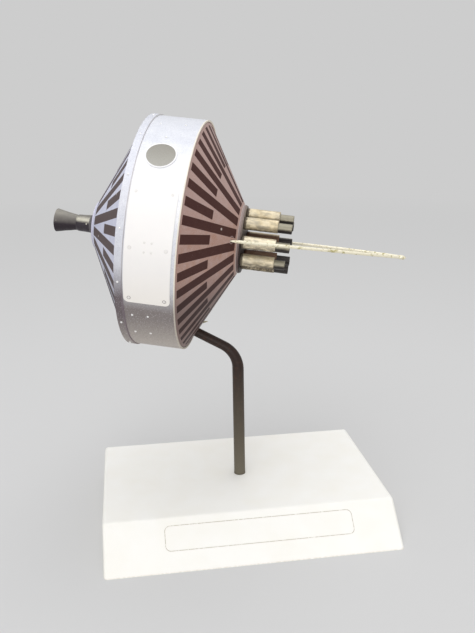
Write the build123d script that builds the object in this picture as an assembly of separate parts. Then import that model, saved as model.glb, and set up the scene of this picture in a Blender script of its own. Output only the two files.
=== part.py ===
"""Card display model of a small drum-and-cones lunar probe on a bent rod and a desk plinth.

Every piece is a separate solid in its own node.  The row's frame has its origin at the
centre of the plinth's footprint, +X along the plinth, the sloped front face towards -Y
and +Z up.  The probe's own pieces are drawn along its axis, which is local +X: "station"
is a distance along that axis and "radius" a distance from it.  Angles round the axis run
from straight up, round towards the front.
"""
from build123d import *
from math import cos, hypot, radians, sin, tan
import os

# ---- plinth: a folded card box with a sloped front ------------------------------------
plinth_width = 95.6
plinth_height = 11.7
plinth_top_depth = 53.9
plinth_front_run = 12.4
plinth_wall = 0.8
plinth_fold_radius = 1.2
floor_thickness = 0.8
floor_clearance = 0.1

# ---- support rod: straight up from the plinth, then bent over into the fore cone ------
rod_foot_diameter = 3.9
rod_arm_diameter = 3.2
rod_clearance = 0.1
rod_set_back = 25.4
rod_lean = 0.5
rod_upper_slope = 26.2
rod_bend_radius = 9.0
rod_entry_from_drum = 1.8
rod_reach_inside = 12.0

# ---- where the probe's axis lies ------------------------------------------------------
axis_height = 94.9
axis_turn = -16.1
axis_dip = 5.95

# ---- drum ----------------------------------------------------------------------------
drum_radius = 36.85
drum_length = 17.5
drum_fore_station = -12.9
drum_card = 0.5
rim_band_width = 2.2
rim_band_card = 0.3
glue_gap = 0.05

# ---- cones ---------------------------------------------------------------------------
cone_card = 0.4
cone_fit = 0.1
cone_tab = 4.0
cone_recess = 0.2
fore_cone_length = 14.0
fore_cone_end_radius = 11.0
fore_end_rise = 0.9
aft_cone_length = 16.1
aft_cone_end_radius = 7.8
end_disc_card = 0.3

# ---- panel and window on the drum ----------------------------------------------------
panel_card = 0.2
panel_aft_margin = 2.6
panel_length = 13.6
panel_start_angle = 59.0
panel_end_angle = 113.0
panel_corner_radius = 1.5
window_card = 0.15
window_radius = 4.2
window_ring_width = 0.45
window_angle = 42.8
window_from_fore_edge = 8.7

# ---- retro motor at the aft end ------------------------------------------------------
collar_length = 2.4
collar_radius = 3.1
neck_length = 4.6
neck_radius = 2.85
throat_radius = 2.4
bell_length = 7.0
bell_mouth_radius = 3.8
bell_wall = 0.35

# ---- fore end plate and the ring of small rockets ------------------------------------
end_collar_length = 0.6
end_collar_width = 2.2
end_plate_card = 0.4
end_plate_margin = 0.2
rocket_count = 8
rocket_ring_radius = 8.1
rocket_first_angle = -5.0
case_radius = 2.0
case_length = 10.8
case_edge = 0.2
nozzle_drop = 0.3
nozzle_radius = 1.55
nozzle_bore_radius = 1.2
nozzle_length = 4.4
short_nozzle_number = 4
short_nozzle_length = 3.4
raised_rocket_number = 5
raised_rocket_lift = 0.5

# ---- antenna: two thin rods that bow round the rockets and meet in a tip -------------
antenna_rod_diameter = 1.0
antenna_clearance = 0.1
antenna_root_from_end = 1.5
antenna_near_angle = 82.5
antenna_far_angle = -100.0
antenna_waist_lift = 0.2
antenna_tip_station = 51.8
antenna_tip_rise = 1.25
antenna_tip_gap = 0.05
antenna_bead_length = 2.5
antenna_bead_width = 2.2
antenna_bead_height = 1.3
antenna_root_depth = 1.5

# ---- stations and radii that follow from the sizes above -----------------------------
drum_aft_station = drum_fore_station - drum_length
drum_inner_radius = drum_radius - drum_card
cone_base_radius = drum_inner_radius - cone_fit
fore_base_station = drum_fore_station - cone_recess
fore_end_station = fore_base_station + fore_cone_length
aft_base_station = drum_aft_station + cone_recess
aft_end_station = aft_base_station - aft_cone_length
plate_station = fore_end_station + end_collar_length
rocket_station = plate_station + end_plate_card
case_end_station = rocket_station + case_length
nozzle_end_station = case_end_station + nozzle_length
plinth_depth = plinth_top_depth + plinth_front_run
plinth_back = plinth_depth / 2
plinth_top_front = plinth_front_run - plinth_depth / 2
rod_y = plinth_top_front + rod_set_back

heading = Vector(cos(radians(axis_turn)), sin(radians(axis_turn)), 0)
axis_direction = heading * cos(radians(axis_dip)) - Vector(0, 0, sin(radians(axis_dip)))
axis_side = Vector(0, 0, 1).cross(heading)
probe_frame = Plane(
    origin=(0, rod_y, axis_height),
    x_dir=axis_direction,
    z_dir=axis_direction.cross(axis_side),
).location


def spun(outline):
    """Turn a closed outline of (station, radius) points round the probe's axis."""
    return revolve(Plane.XZ * make_face(Polyline(*outline, close=True)), Axis.X)


def tube_along_axis(start, length, radius, bore=0.0):
    """A rod or tube along local X from a station."""
    base = Plane.YZ.offset(start)
    solid = extrude(base * Circle(radius), length)
    if bore > 0:
        solid -= extrude(base * Circle(bore), length)
    return solid


def disc_at(station, radius, rise=0.0):
    """A disc square to the probe's axis, its centre a little above the axis if need be."""
    return Plane.YZ.offset(station) * Pos(0, rise) * Circle(radius)


def cone_skin(base_station, end_station, end_radius, end_rise=0.0):
    """A rolled card cone with a glue tab that folds back inside the drum.

    The small end's centre may sit above the axis, as on a cone that closed a little askew.
    """
    way = 1 if end_station > base_station else -1
    run = abs(end_station - base_station)
    drop = cone_base_radius - end_radius
    skin_across = cone_card * hypot(run, drop) / run
    fold_set_back = (skin_across - cone_card) * run / drop
    fold_station = base_station - way * fold_set_back
    fold_rise = -end_rise * fold_set_back / run
    outer = loft([
        disc_at(base_station, cone_base_radius),
        disc_at(end_station, end_radius, end_rise),
    ], ruled=True)
    inner = loft([
        disc_at(fold_station, cone_base_radius - cone_card, fold_rise),
        disc_at(end_station, end_radius - skin_across, end_rise),
    ], ruled=True)
    outer += extrude(disc_at(base_station, cone_base_radius), -way * cone_tab)
    inner += extrude(disc_at(fold_station, cone_base_radius - cone_card), -way * cone_tab)
    return outer - inner


def fore_cone_section(station):
    """Radius of the fore cone's skin at a station, and its centre's rise above the axis."""
    share = (station - fore_base_station) / fore_cone_length
    radius = cone_base_radius + (fore_cone_end_radius - cone_base_radius) * share
    return radius, fore_end_rise * share


# ---- plinth --------------------------------------------------------------------------
def plinth_block(inset, fold_radius):
    """The plinth's block with its walls and top moved inwards by an inset."""
    below = 3 * plinth_wall + plinth_fold_radius
    front_below = -plinth_back - below * plinth_front_run / plinth_height
    outline = Polyline(
        (front_below, -below),
        (plinth_top_front, plinth_height),
        (plinth_back, plinth_height),
        (plinth_back, -below),
        close=True,
    )
    face = offset(make_face(outline), -inset, kind=Kind.INTERSECTION) if inset else make_face(outline)
    block = extrude(Plane.YZ * face, plinth_width / 2 - inset, both=True)
    top_edges = block.edges().filter_by(lambda edge: edge.center().Z > 0)
    block = fillet(top_edges, fold_radius)
    return split(block, Plane.XY, keep=Keep.TOP)


def make_plinth(rod_cut):
    """The folded cover with its rod hole, and the card that closes it below."""
    inner_fold = max(plinth_fold_radius - plinth_wall, plinth_wall / 2)
    cover = plinth_block(0, plinth_fold_radius)
    cover -= plinth_block(plinth_wall, inner_fold)
    cover -= rod_cut
    card = plinth_block(plinth_wall + floor_clearance, inner_fold)
    card = split(card, Plane.XY.offset(floor_thickness), keep=Keep.BOTTOM)
    return cover, card


# ---- support rod ---------------------------------------------------------------------
def rod_route():
    """Foot, knee and inner end of the rod, in its own upright plane along the heading."""
    dip = radians(axis_dip)
    entry_station = drum_fore_station + rod_entry_from_drum
    skin_radius, skin_rise = fore_cone_section(entry_station)
    entry_depth = skin_radius - skin_rise
    entry_x = entry_station * cos(dip) - entry_depth * sin(dip)
    entry_z = axis_height - entry_station * sin(dip) - entry_depth * cos(dip)
    climb = tan(radians(rod_upper_slope))
    lean = tan(radians(rod_lean))
    knee_z = (entry_z + climb * entry_x - climb * lean * plinth_height) / (1 - climb * lean)
    knee_x = -lean * (knee_z - plinth_height)
    foot_x = lean * plinth_height
    upper = hypot(knee_x - entry_x, knee_z - entry_z) + rod_reach_inside
    end_x = knee_x - upper * cos(radians(rod_upper_slope))
    end_z = knee_z + upper * sin(radians(rod_upper_slope))
    return (foot_x, 0), (knee_x, knee_z), (end_x, end_z)


def make_rod(clearance=0.0):
    """The bent rod, drawn thinner through its bend, or the space that it passes through."""
    rod_plane = Plane(origin=(0, rod_y, 0), x_dir=heading, z_dir=-axis_side)
    route = rod_plane * FilletPolyline(*rod_route(), radius=rod_bend_radius)
    upright, bend, arm = route.edges().sort_by(Axis.Z)
    below = Plane(origin=bend @ 0, z_dir=bend % 0) * Circle(rod_foot_diameter / 2 + clearance)
    above = Plane(origin=bend @ 1, z_dir=bend % 1) * Circle(rod_arm_diameter / 2 + clearance)
    rod = sweep([below, above], path=bend, multisection=True)
    rod += extrude(below, -upright.length)
    rod += extrude(above, arm.length)
    return rod


# ---- drum ----------------------------------------------------------------------------
def make_drum():
    """The wide printed band and the narrow rim band wrapped round its aft edge."""
    band = tube_along_axis(drum_aft_station, drum_length, drum_radius, drum_inner_radius)
    rim_inner = drum_radius + glue_gap
    rim = tube_along_axis(drum_aft_station, rim_band_width, rim_inner + rim_band_card, rim_inner)
    return band, rim


def make_panel():
    """The curved access panel: a patch of a larger cylinder with rounded corners."""
    start = drum_aft_station + panel_aft_margin
    inner = drum_radius + glue_gap
    face = Plane.XZ * make_face(Polyline(
        (start, inner),
        (start + panel_length, inner),
        (start + panel_length, inner + panel_card),
        (start, inner + panel_card),
        close=True,
    ))
    patch = revolve(face, Axis.X, revolution_arc=panel_end_angle - panel_start_angle)
    patch = Rot(X=panel_start_angle) * patch
    corners = patch.edges().filter_by(lambda edge: abs(edge.length - panel_card) < panel_card / 10)
    return fillet(corners, panel_corner_radius)


def make_window():
    """The round window and the ring printed round it, both bent to the drum."""
    inner = drum_radius + glue_gap
    skin = tube_along_axis(drum_aft_station, drum_length, inner + window_card, inner)
    station = drum_fore_station - window_from_fore_edge
    ring_outer = window_radius + window_ring_width
    turn = Rot(X=window_angle)
    disc = turn * (skin_patch(skin, station, window_radius))
    ring = turn * (skin_patch(skin, station, ring_outer) - skin_patch(skin, station, window_radius))
    return disc, ring


def skin_patch(skin, station, radius):
    """The part of a thin skin under a round cutter that stands at the top of the drum."""
    cutter = Pos(station, 0, drum_radius) * Cylinder(radius, drum_radius / 2)
    return skin & cutter


# ---- retro motor ---------------------------------------------------------------------
def make_motor():
    """Collar, neck and flared bell on the aft cone's end disc."""
    disc_face = aft_end_station - end_disc_card
    collar_end = disc_face - collar_length
    neck_end = collar_end - neck_length
    mouth = neck_end - bell_length
    collar = spun([
        (disc_face, 0),
        (disc_face, collar_radius),
        (collar_end, collar_radius - bell_wall / 2),
        (collar_end, 0),
    ])
    neck = spun([
        (collar_end, 0),
        (collar_end, neck_radius),
        (neck_end, throat_radius),
        (neck_end, 0),
    ])
    outer = Spline(
        (neck_end, throat_radius),
        (neck_end - bell_length * 0.45, throat_radius + (bell_mouth_radius - throat_radius) * 0.36),
        (mouth, bell_mouth_radius),
        tangents=((-1, 0), (-1, 0.3)),
    )
    inner = Spline(
        (neck_end, throat_radius - bell_wall),
        (neck_end - bell_length * 0.45,
         throat_radius - bell_wall + (bell_mouth_radius - throat_radius) * 0.36),
        (mouth, bell_mouth_radius - bell_wall),
        tangents=((-1, 0), (-1, 0.3)),
    )
    mouth_edge = Line(outer @ 1, inner @ 1)
    throat_edge = Line(inner @ 0, outer @ 0)
    wall = make_face([outer, mouth_edge, inner, throat_edge])
    bell = revolve(Plane.XZ * wall, Axis.X)
    return collar, neck, bell


# ---- rockets -------------------------------------------------------------------------
def make_rocket(angle, tube_length=nozzle_length, lift=0):
    """One small rocket: a case, and the nozzle tube that hangs a little low on its end."""
    case = tube_along_axis(rocket_station, case_length, case_radius)
    case = chamfer(case.edges().filter_by(GeomType.CIRCLE), case_edge)
    nozzle = tube_along_axis(case_end_station, tube_length, nozzle_radius, nozzle_bore_radius)
    across = -rocket_ring_radius * sin(radians(angle))
    up = rocket_ring_radius * cos(radians(angle)) + lift
    return Pos(0, across, up) * case, Pos(0, across, up - nozzle_drop) * nozzle


# ---- antenna -------------------------------------------------------------------------
def antenna_route(angle):
    """A thin rod's bow: out of the cone's skin, round its nozzle tube, to the tip."""
    root_station = fore_end_station - antenna_root_from_end
    skin_radius, skin_rise = fore_cone_section(root_station)
    turn = radians(angle)
    root = Vector(root_station, -skin_radius * sin(turn), skin_radius * cos(turn) + skin_rise)
    side = 1 if root.Y > 0 else -1
    beside = side * (antenna_rod_diameter / 2 + antenna_tip_gap)
    tip = Vector(antenna_tip_station, beside, antenna_tip_rise)
    share = (nozzle_end_station - root_station) / (antenna_tip_station - root_station)
    clear = rocket_ring_radius + nozzle_radius + antenna_rod_diameter / 2 + antenna_clearance
    waist_rise = root.Z + (tip.Z - root.Z) * share + antenna_waist_lift
    waist = Vector(nozzle_end_station, side * clear, waist_rise)
    return ThreePointArc(root, waist, tip)


def make_antenna_rod(angle, radius, start_depth):
    """A thin rod from inside the cone's skin to the station where the tip's bead starts."""
    bow = antenna_route(angle)
    inwards = Line(bow @ 0 - (bow % 0) * start_depth, bow @ 0)
    outwards = Line(bow @ 1, bow @ 1 + (bow % 1) * antenna_rod_diameter)
    path = Wire([inwards.edge(), bow.edge(), outwards.edge()])
    rod = sweep(Plane(origin=path @ 0, z_dir=path % 0) * Circle(radius), path=path)
    return split(rod, Plane.YZ.offset(antenna_tip_station), keep=Keep.BOTTOM)


def make_antenna_tip():
    """The flattened bead that joins the two rods' ends, with a flat seat on them."""
    size = (antenna_bead_length / 2, antenna_bead_width / 2, antenna_bead_height / 2)
    bead = scale(Sphere(1), by=size)
    bead = Pos(antenna_tip_station + antenna_bead_length / 4, 0, antenna_tip_rise) * bead
    return split(bead, Plane.YZ.offset(antenna_tip_station), keep=Keep.TOP)


# ---- build every node ----------------------------------------------------------------
os.makedirs("parts", exist_ok=True)
parts = {}

support_rod = make_rod()
rod_space = make_rod(rod_clearance)
parts["plinth_cover"], parts["plinth_floor"] = make_plinth(rod_space)
parts["support_rod"] = split(support_rod, Plane.XY.offset(floor_thickness), keep=Keep.TOP)

drum_band, aft_rim_band = make_drum()
parts["drum_band"] = probe_frame * drum_band
parts["aft_rim_band"] = probe_frame * aft_rim_band
parts["access_panel"] = probe_frame * make_panel()
window_disc, window_ring = make_window()
parts["window_disc"] = probe_frame * window_disc
parts["window_ring"] = probe_frame * window_ring

fore_cone = cone_skin(fore_base_station, fore_end_station, fore_cone_end_radius, fore_end_rise)
antenna_sides = {"near": antenna_near_angle, "far": antenna_far_angle}
for side, angle in antenna_sides.items():
    hole = make_antenna_rod(angle, antenna_rod_diameter / 2 + glue_gap, 2 * antenna_root_depth)
    fore_cone -= hole
    rod = make_antenna_rod(angle, antenna_rod_diameter / 2, antenna_root_depth)
    parts[f"antenna_rod_{side}"] = probe_frame * rod
parts["fore_cone"] = probe_frame * fore_cone - rod_space
parts["antenna_tip"] = probe_frame * make_antenna_tip()

parts["aft_cone"] = probe_frame * cone_skin(aft_base_station, aft_end_station, aft_cone_end_radius)
parts["aft_end_disc"] = probe_frame * tube_along_axis(
    aft_end_station - end_disc_card, end_disc_card, aft_cone_end_radius)
motor_names = ("motor_collar", "motor_neck", "motor_bell")
for name, solid in zip(motor_names, make_motor()):
    parts[name] = probe_frame * solid

fore_end_frame = probe_frame * Pos(0, 0, fore_end_rise)
parts["end_collar"] = fore_end_frame * tube_along_axis(
    fore_end_station, end_collar_length, fore_cone_end_radius,
    fore_cone_end_radius - end_collar_width)
parts["end_plate"] = fore_end_frame * tube_along_axis(
    plate_station, end_plate_card, fore_cone_end_radius - end_plate_margin)
for number in range(1, rocket_count + 1):
    angle = rocket_first_angle + (number - 1) * 360 / rocket_count
    tube_length = short_nozzle_length if number == short_nozzle_number else nozzle_length
    lift = raised_rocket_lift if number == raised_rocket_number else 0
    case, nozzle = make_rocket(angle, tube_length, lift)
    parts[f"rocket_case_{number}"] = fore_end_frame * case
    parts[f"rocket_nozzle_{number}"] = fore_end_frame * nozzle

for name, shape in parts.items():
    export_step(shape, f"parts/{name}.step")
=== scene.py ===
"""Finishes and fine pieces for a card display model of a small drum-and-cones space probe.

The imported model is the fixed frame: a folded card plinth, a bent rod, and on the rod a
probe with a drum, two striped cones, a retro motor, a ring of small rockets and an
antenna.  Everything here is dressed or built around it.  Lengths are in metres.

The probe has its own axes.  A "station" is a distance along its axis from the middle of
the drum towards the rockets, a "radius" is a distance from that axis, and angles run in
degrees from straight up round towards the front.
"""
import logging
import math
from collections.abc import Callable, Iterable, Sequence
from dataclasses import dataclass, field
from enum import Enum
from typing import Any, Union

import bmesh
import bpy
from mathutils import Matrix, Vector, noise


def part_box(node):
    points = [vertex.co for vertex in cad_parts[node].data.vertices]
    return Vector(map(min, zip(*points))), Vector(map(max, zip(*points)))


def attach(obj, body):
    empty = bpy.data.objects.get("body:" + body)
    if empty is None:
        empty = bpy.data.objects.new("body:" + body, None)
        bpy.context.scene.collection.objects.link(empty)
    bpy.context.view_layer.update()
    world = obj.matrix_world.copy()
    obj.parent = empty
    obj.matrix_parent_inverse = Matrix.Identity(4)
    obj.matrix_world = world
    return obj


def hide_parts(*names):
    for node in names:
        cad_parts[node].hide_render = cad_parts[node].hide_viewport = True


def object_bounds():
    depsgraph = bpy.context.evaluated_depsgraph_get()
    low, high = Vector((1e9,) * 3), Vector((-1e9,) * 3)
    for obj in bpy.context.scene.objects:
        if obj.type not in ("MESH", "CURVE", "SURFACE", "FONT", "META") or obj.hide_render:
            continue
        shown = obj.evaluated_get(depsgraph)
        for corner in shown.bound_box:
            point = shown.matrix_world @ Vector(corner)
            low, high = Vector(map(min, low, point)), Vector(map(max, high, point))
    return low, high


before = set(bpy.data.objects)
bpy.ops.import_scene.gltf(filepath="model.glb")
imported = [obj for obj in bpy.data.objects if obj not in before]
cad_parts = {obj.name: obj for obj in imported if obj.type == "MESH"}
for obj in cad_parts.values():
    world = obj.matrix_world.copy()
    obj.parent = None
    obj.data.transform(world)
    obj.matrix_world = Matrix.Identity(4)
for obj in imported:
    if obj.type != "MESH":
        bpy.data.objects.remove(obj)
CAD_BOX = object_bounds()

MM = 0.001
SAME_PLACE = 6  # decimals of a metre to which the corners of one place agree
BODY = "root"
LOG = logging.getLogger("probe_model")

Colour = tuple[float, float, float, float]
Operand = Union["Wire", float, Sequence[float]]
Outline = Sequence[tuple[float, float]]
Inputs = dict[str | int, Any] | None


def ink(red: int, green: int, blue: int) -> Colour:
    """Turn a display colour into the linear colour that a shader takes.

    Args:
        red, green, blue: The display colour's levels, from 0 to 255.

    Returns:
        The linear colour, opaque.
    """
    levels = (level / 255 for level in (red, green, blue))
    linear = [v / 12.92 if v <= 0.04045 else ((v + 0.055) / 1.055) ** 2.4 for v in levels]
    return (*linear, 1.0)


BLACK = ink(0, 0, 0)
WHITE = ink(255, 255, 255)


def add_object(name: str, data: bpy.types.ID) -> bpy.types.Object:
    """Add an object at the origin of the scene.

    Args:
        name: Its name.
        data: Its mesh, lamp or camera.

    Returns:
        The object.
    """
    made = bpy.data.objects.new(name, data)
    bpy.context.scene.collection.objects.link(made)
    return made


# ---- the probe's own axes, read from the frame
def node_points(name: str) -> list[Vector]:
    """The distinct corners of a node of the frame.

    Args:
        name: The node's name.

    Returns:
        One point for each place where the mesh has corners.
    """
    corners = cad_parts[name].data.vertices
    places = {tuple(round(value, SAME_PLACE) for value in corner.co) for corner in corners}
    return [Vector(place) for place in sorted(places)]


def centre_of(points: Sequence[Vector]) -> Vector:
    """The mean of some points."""
    return sum(points, Vector()) / len(points)


@dataclass(frozen=True)
class Span:
    """A stretch from a low to a high value."""

    low: float
    high: float

    @property
    def middle(self) -> float:
        """Halfway along the stretch."""
        return (self.low + self.high) / 2

    @property
    def length(self) -> float:
        """How long the stretch is."""
        return self.high - self.low


@dataclass(frozen=True)
class ProbeAxes:
    """The probe's own axes: local X from motor to rockets, local -Y to the front, local Z up.

    Args:
        place: Takes a point from the probe's axes to the row's frame.
    """

    place: Matrix

    @classmethod
    def from_frame(cls) -> "ProbeAxes":
        """Find the axis through the aft disc and the drum.

        Returns:
            The axes, with their zero at the drum's middle.
        """
        origin = centre_of(node_points("drum_band"))
        along = (origin - centre_of(node_points("aft_end_disc"))).normalized()
        up = (Vector((0, 0, 1)) - along * along.z).normalized()
        back = up.cross(along)
        turn = Matrix((along, back, up)).transposed().to_4x4()
        return cls(Matrix.Translation(origin) @ turn)

    def local_points(self, name: str) -> list[Vector]:
        """A node's distinct corners on the probe's axes."""
        inverse = self.place.inverted()
        return [inverse @ point for point in node_points(name)]

    def stations(self, name: str) -> Span:
        """The stations that a node takes up."""
        values = [point.x for point in self.local_points(name)]
        return Span(min(values), max(values))

    def radii(self, name: str) -> Span:
        """The radii that a node's corners lie at."""
        values = [math.hypot(point.y, point.z) for point in self.local_points(name)]
        return Span(min(values), max(values))

    def angles(self, name: str) -> Span:
        """The angles that a node's corners lie at, for a node that stays on the front half."""
        values = [math.degrees(math.atan2(-point.y, point.z)) for point in self.local_points(name)]
        return Span(min(values), max(values))

    def centre(self, name: str) -> Vector:
        """The middle of a node's corners on the probe's axes."""
        return centre_of(self.local_points(name))

    @staticmethod
    def spot(station: float, radius: float, angle: float) -> Vector:
        """The local point at a station, radius and angle."""
        turn = math.radians(angle)
        return Vector((station, -radius * math.sin(turn), radius * math.cos(turn)))


# ---- node trees
class Wire:
    """A node's output socket.  Sums written with it add their nodes to its tree."""

    def __init__(self, graph: "NodeGraph", socket: bpy.types.NodeSocket) -> None:
        """Wrap an output socket of a tree."""
        self.graph = graph
        self.socket = socket

    @property
    def is_vector(self) -> bool:
        """Whether the socket carries three values."""
        return self.socket.type in {"VECTOR", "RGBA"}

    def __add__(self, other: Operand) -> "Wire":
        """This plus another value."""
        return self.graph.work("ADD", self, other)

    def __radd__(self, other: Operand) -> "Wire":
        """Another value plus this."""
        return self.graph.work("ADD", other, self)

    def __sub__(self, other: Operand) -> "Wire":
        """This less another value."""
        return self.graph.work("SUBTRACT", self, other)

    def __rsub__(self, other: Operand) -> "Wire":
        """Another value less this."""
        return self.graph.work("SUBTRACT", other, self)

    def __mul__(self, other: Operand) -> "Wire":
        """This times another value."""
        return self.graph.work("MULTIPLY", self, other)

    def __rmul__(self, other: Operand) -> "Wire":
        """Another value times this."""
        return self.graph.work("MULTIPLY", other, self)

    def __truediv__(self, other: Operand) -> "Wire":
        """This divided by another value."""
        return self.graph.work("DIVIDE", self, other)

    def __rtruediv__(self, other: Operand) -> "Wire":
        """Another value divided by this."""
        return self.graph.work("DIVIDE", other, self)

    def __mod__(self, other: Operand) -> "Wire":
        """What is left of this after whole steps of another value."""
        return self.graph.work("FLOORED_MODULO", self, other)

    def __pow__(self, other: Operand) -> "Wire":
        """This raised to a power."""
        return self.graph.work("POWER", self, other)

    def __neg__(self) -> "Wire":
        """This with its sign turned."""
        return self.graph.work("MULTIPLY", self, -1.0)

    def __abs__(self) -> "Wire":
        """This without its sign."""
        return self.graph.work("ABSOLUTE", self)

    def least(self, other: Operand) -> "Wire":
        """The smaller of this and another value."""
        return self.graph.work("MINIMUM", self, other)

    def most(self, other: Operand) -> "Wire":
        """The larger of this and another value."""
        return self.graph.work("MAXIMUM", self, other)

    def rounded(self) -> "Wire":
        """The nearest whole number."""
        return self.graph.work("ROUND", self)

    def sine(self) -> "Wire":
        """The sine of an angle in radians."""
        return self.graph.work("SINE", self)

    def cosine(self) -> "Wire":
        """The cosine of an angle in radians."""
        return self.graph.work("COSINE", self)

    def clamped(self) -> "Wire":
        """The value kept from 0 to 1."""
        return self.most(0.0).least(1.0)

    def dot(self, other: Operand) -> "Wire":
        """The dot product with a vector."""
        return self.graph.work("DOT_PRODUCT", self, other)

    def above(self, edge: Operand, blur: float) -> "Wire":
        """A mask that rises from 0 to 1 where the value passes an edge.

        Args:
            edge: The value at the middle of the rise.
            blur: How much the value changes over the whole rise.

        Returns:
            The mask.
        """
        return ((self - edge) / blur + 0.5).clamped()

    def below(self, edge: Operand, blur: float) -> "Wire":
        """A mask that is 1 under an edge and 0 over it."""
        return 1.0 - self.above(edge, blur=blur)

    def between(self, low: Operand, high: Operand, blur: float) -> "Wire":
        """A mask that is 1 from a low to a high value."""
        return self.above(low, blur=blur) * self.below(high, blur=blur)

    def rising(self, span: "Span") -> "Wire":
        """A mask that goes from 0 to 1 over a stretch."""
        return self.above(span.middle, blur=span.length)

    def falling(self, span: "Span") -> "Wire":
        """A mask that goes from 1 to 0 over a stretch."""
        return self.below(span.middle, blur=span.length)

    def parts(self) -> tuple["Wire", "Wire", "Wire"]:
        """The three values of a vector."""
        node = self.graph.node("ShaderNodeSeparateXYZ", {"Vector": self})
        return tuple(Wire(self.graph, output) for output in node.outputs)


class NodeGraph:
    """A node tree, with one way to add a node to it."""

    def __init__(self, tree: bpy.types.NodeTree) -> None:
        """Work on a tree."""
        self.tree = tree

    def node(self, kind: str, inputs: Inputs = None, **settings: Any) -> bpy.types.Node:
        """Add a node, set it up and then feed its sockets.

        Args:
            kind: The node's type.
            inputs: Values or wires for its sockets, by name or by number.
            settings: Its own properties, such as a Math node's operation.

        Returns:
            The new node.
        """
        made = self.tree.nodes.new(kind)
        for name, value in settings.items():
            setattr(made, name, value)
        for key, value in (inputs or {}).items():
            self._feed(made, key, value)
        return made

    def _feed(self, made: bpy.types.Node, key: str | int, value: Any) -> None:
        """Link a wire to a socket, or set the socket's own value.

        Args:
            made: The node.
            key: The socket's name or number.
            value: The wire or the value.
        """
        if isinstance(key, int):
            socket = made.inputs[key]
        else:
            socket = next(s for s in made.inputs if s.enabled and s.name == key)
        if isinstance(value, Wire):
            self.tree.links.new(value.socket, socket)
        elif socket.type == "VECTOR" and isinstance(value, (int, float)):
            socket.default_value = (value, value, value)
        else:
            socket.default_value = value

    def wire(self, kind: str, inputs: Inputs = None, **settings: Any) -> Wire:
        """Add a node as node() does, and take its first output that is in use."""
        made = self.node(kind, inputs, **settings)
        return Wire(self, next(output for output in made.outputs if output.enabled))

    def work(self, operation: str, *terms: Operand) -> Wire:
        """Work out one step of a sum.

        Args:
            operation: The Math or Vector Math node's operation.
            terms: What it works on, wires or constants.

        Returns:
            The result.
        """
        vectors = any(
            term.is_vector if isinstance(term, Wire) else hasattr(term, "__len__") for term in terms)
        kind = "ShaderNodeVectorMath" if vectors else "ShaderNodeMath"
        return self.wire(kind, dict(enumerate(terms)), operation=operation)

    def noise(self, point: Wire, size: Operand, detail: float, seed: Operand = 0.0) -> Wire:
        """A cloudy pattern from 0 to 1.

        Args:
            point: Where in space the pattern is read.
            size: How far apart its clouds are.
            detail: How many finer layers lie on it.
            seed: Picks one of many such patterns.

        Returns:
            The pattern.
        """
        inputs = {"Vector": point / size, "W": seed, "Scale": 1.0, "Detail": detail}
        return self.wire("ShaderNodeTexNoise", inputs, noise_dimensions="4D")

    def vector(self, x: Operand = 0.0, y: Operand = 0.0, z: Operand = 0.0) -> Wire:
        """A vector of three values."""
        return self.wire("ShaderNodeCombineXYZ", {"X": x, "Y": y, "Z": z})

    def cells(self, point: Wire, size: Operand) -> Wire:
        """The distance to the nearest of many scattered points, in shares of their spacing."""
        return self.wire("ShaderNodeTexVoronoi", {"Vector": point / size, "Scale": 1.0})


@dataclass
class Coverage:
    """What varies over a finish.  Each is a constant or a wire."""

    colour: Operand
    roughness: Operand
    metallic: Operand = 0.0
    height: Wire | None = None


class ShaderGraph(NodeGraph):
    """The node tree of a new material."""

    def __init__(self, name: str) -> None:
        """Make the material, with an empty tree.

        Args:
            name: The material's name.
        """
        self.material = bpy.data.materials.new(name)
        self.material.use_nodes = True
        super().__init__(self.material.node_tree)
        self.tree.nodes.clear()

    def point(self) -> Wire:
        """Where a spot lies in the row's frame, which is every piece's own frame."""
        node = self.node("ShaderNodeTexCoord")
        return Wire(self, node.outputs["Object"])

    def point_on(self, place: Matrix) -> Wire:
        """Where a spot lies on other axes.

        Args:
            place: Takes a point from those axes to the row's frame.

        Returns:
            The spot's place on those axes.
        """
        inputs = {"Vector": self.point(), "Location": place.translation, "Rotation": place.to_euler()}
        return self.wire("ShaderNodeMapping", inputs, vector_type="TEXTURE")

    def mix(self, share: Operand, first: Operand, second: Operand) -> Wire:
        """Go from a first to a second colour by a share from 0 to 1."""
        inputs = {"Factor": share, "A": first, "B": second}
        return self.wire("ShaderNodeMix", inputs, data_type="RGBA")

    def layered(self, ground: Operand, *layers: tuple[Operand, Operand]) -> Wire:
        """Lay colours over a ground in turn.

        Args:
            ground: The lowest colour.
            layers: Each layer's share, from 0 to 1, and its colour.

        Returns:
            The colour on top.
        """
        for share, colour in layers:
            ground = self.mix(share, ground, colour)
        return ground

    def finish_with(self, cover: Coverage, relief: float, constants: dict[str, float]) -> None:
        """Close the tree with a shader.

        Args:
            cover: What varies over the surface.
            relief: How high the cover's height of 1 stands.
            constants: The shader's sockets that are the same all over.
        """
        inputs = {
            "Base Color": cover.colour, "Roughness": cover.roughness, "Metallic": cover.metallic, **constants}
        if cover.height is not None:
            bump = {"Distance": relief, "Height": cover.height}
            inputs["Normal"] = self.wire("ShaderNodeBump", bump)
        shader = self.wire("ShaderNodeBsdfPrincipled", inputs)
        self.node("ShaderNodeOutputMaterial", {"Surface": shader})


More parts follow.
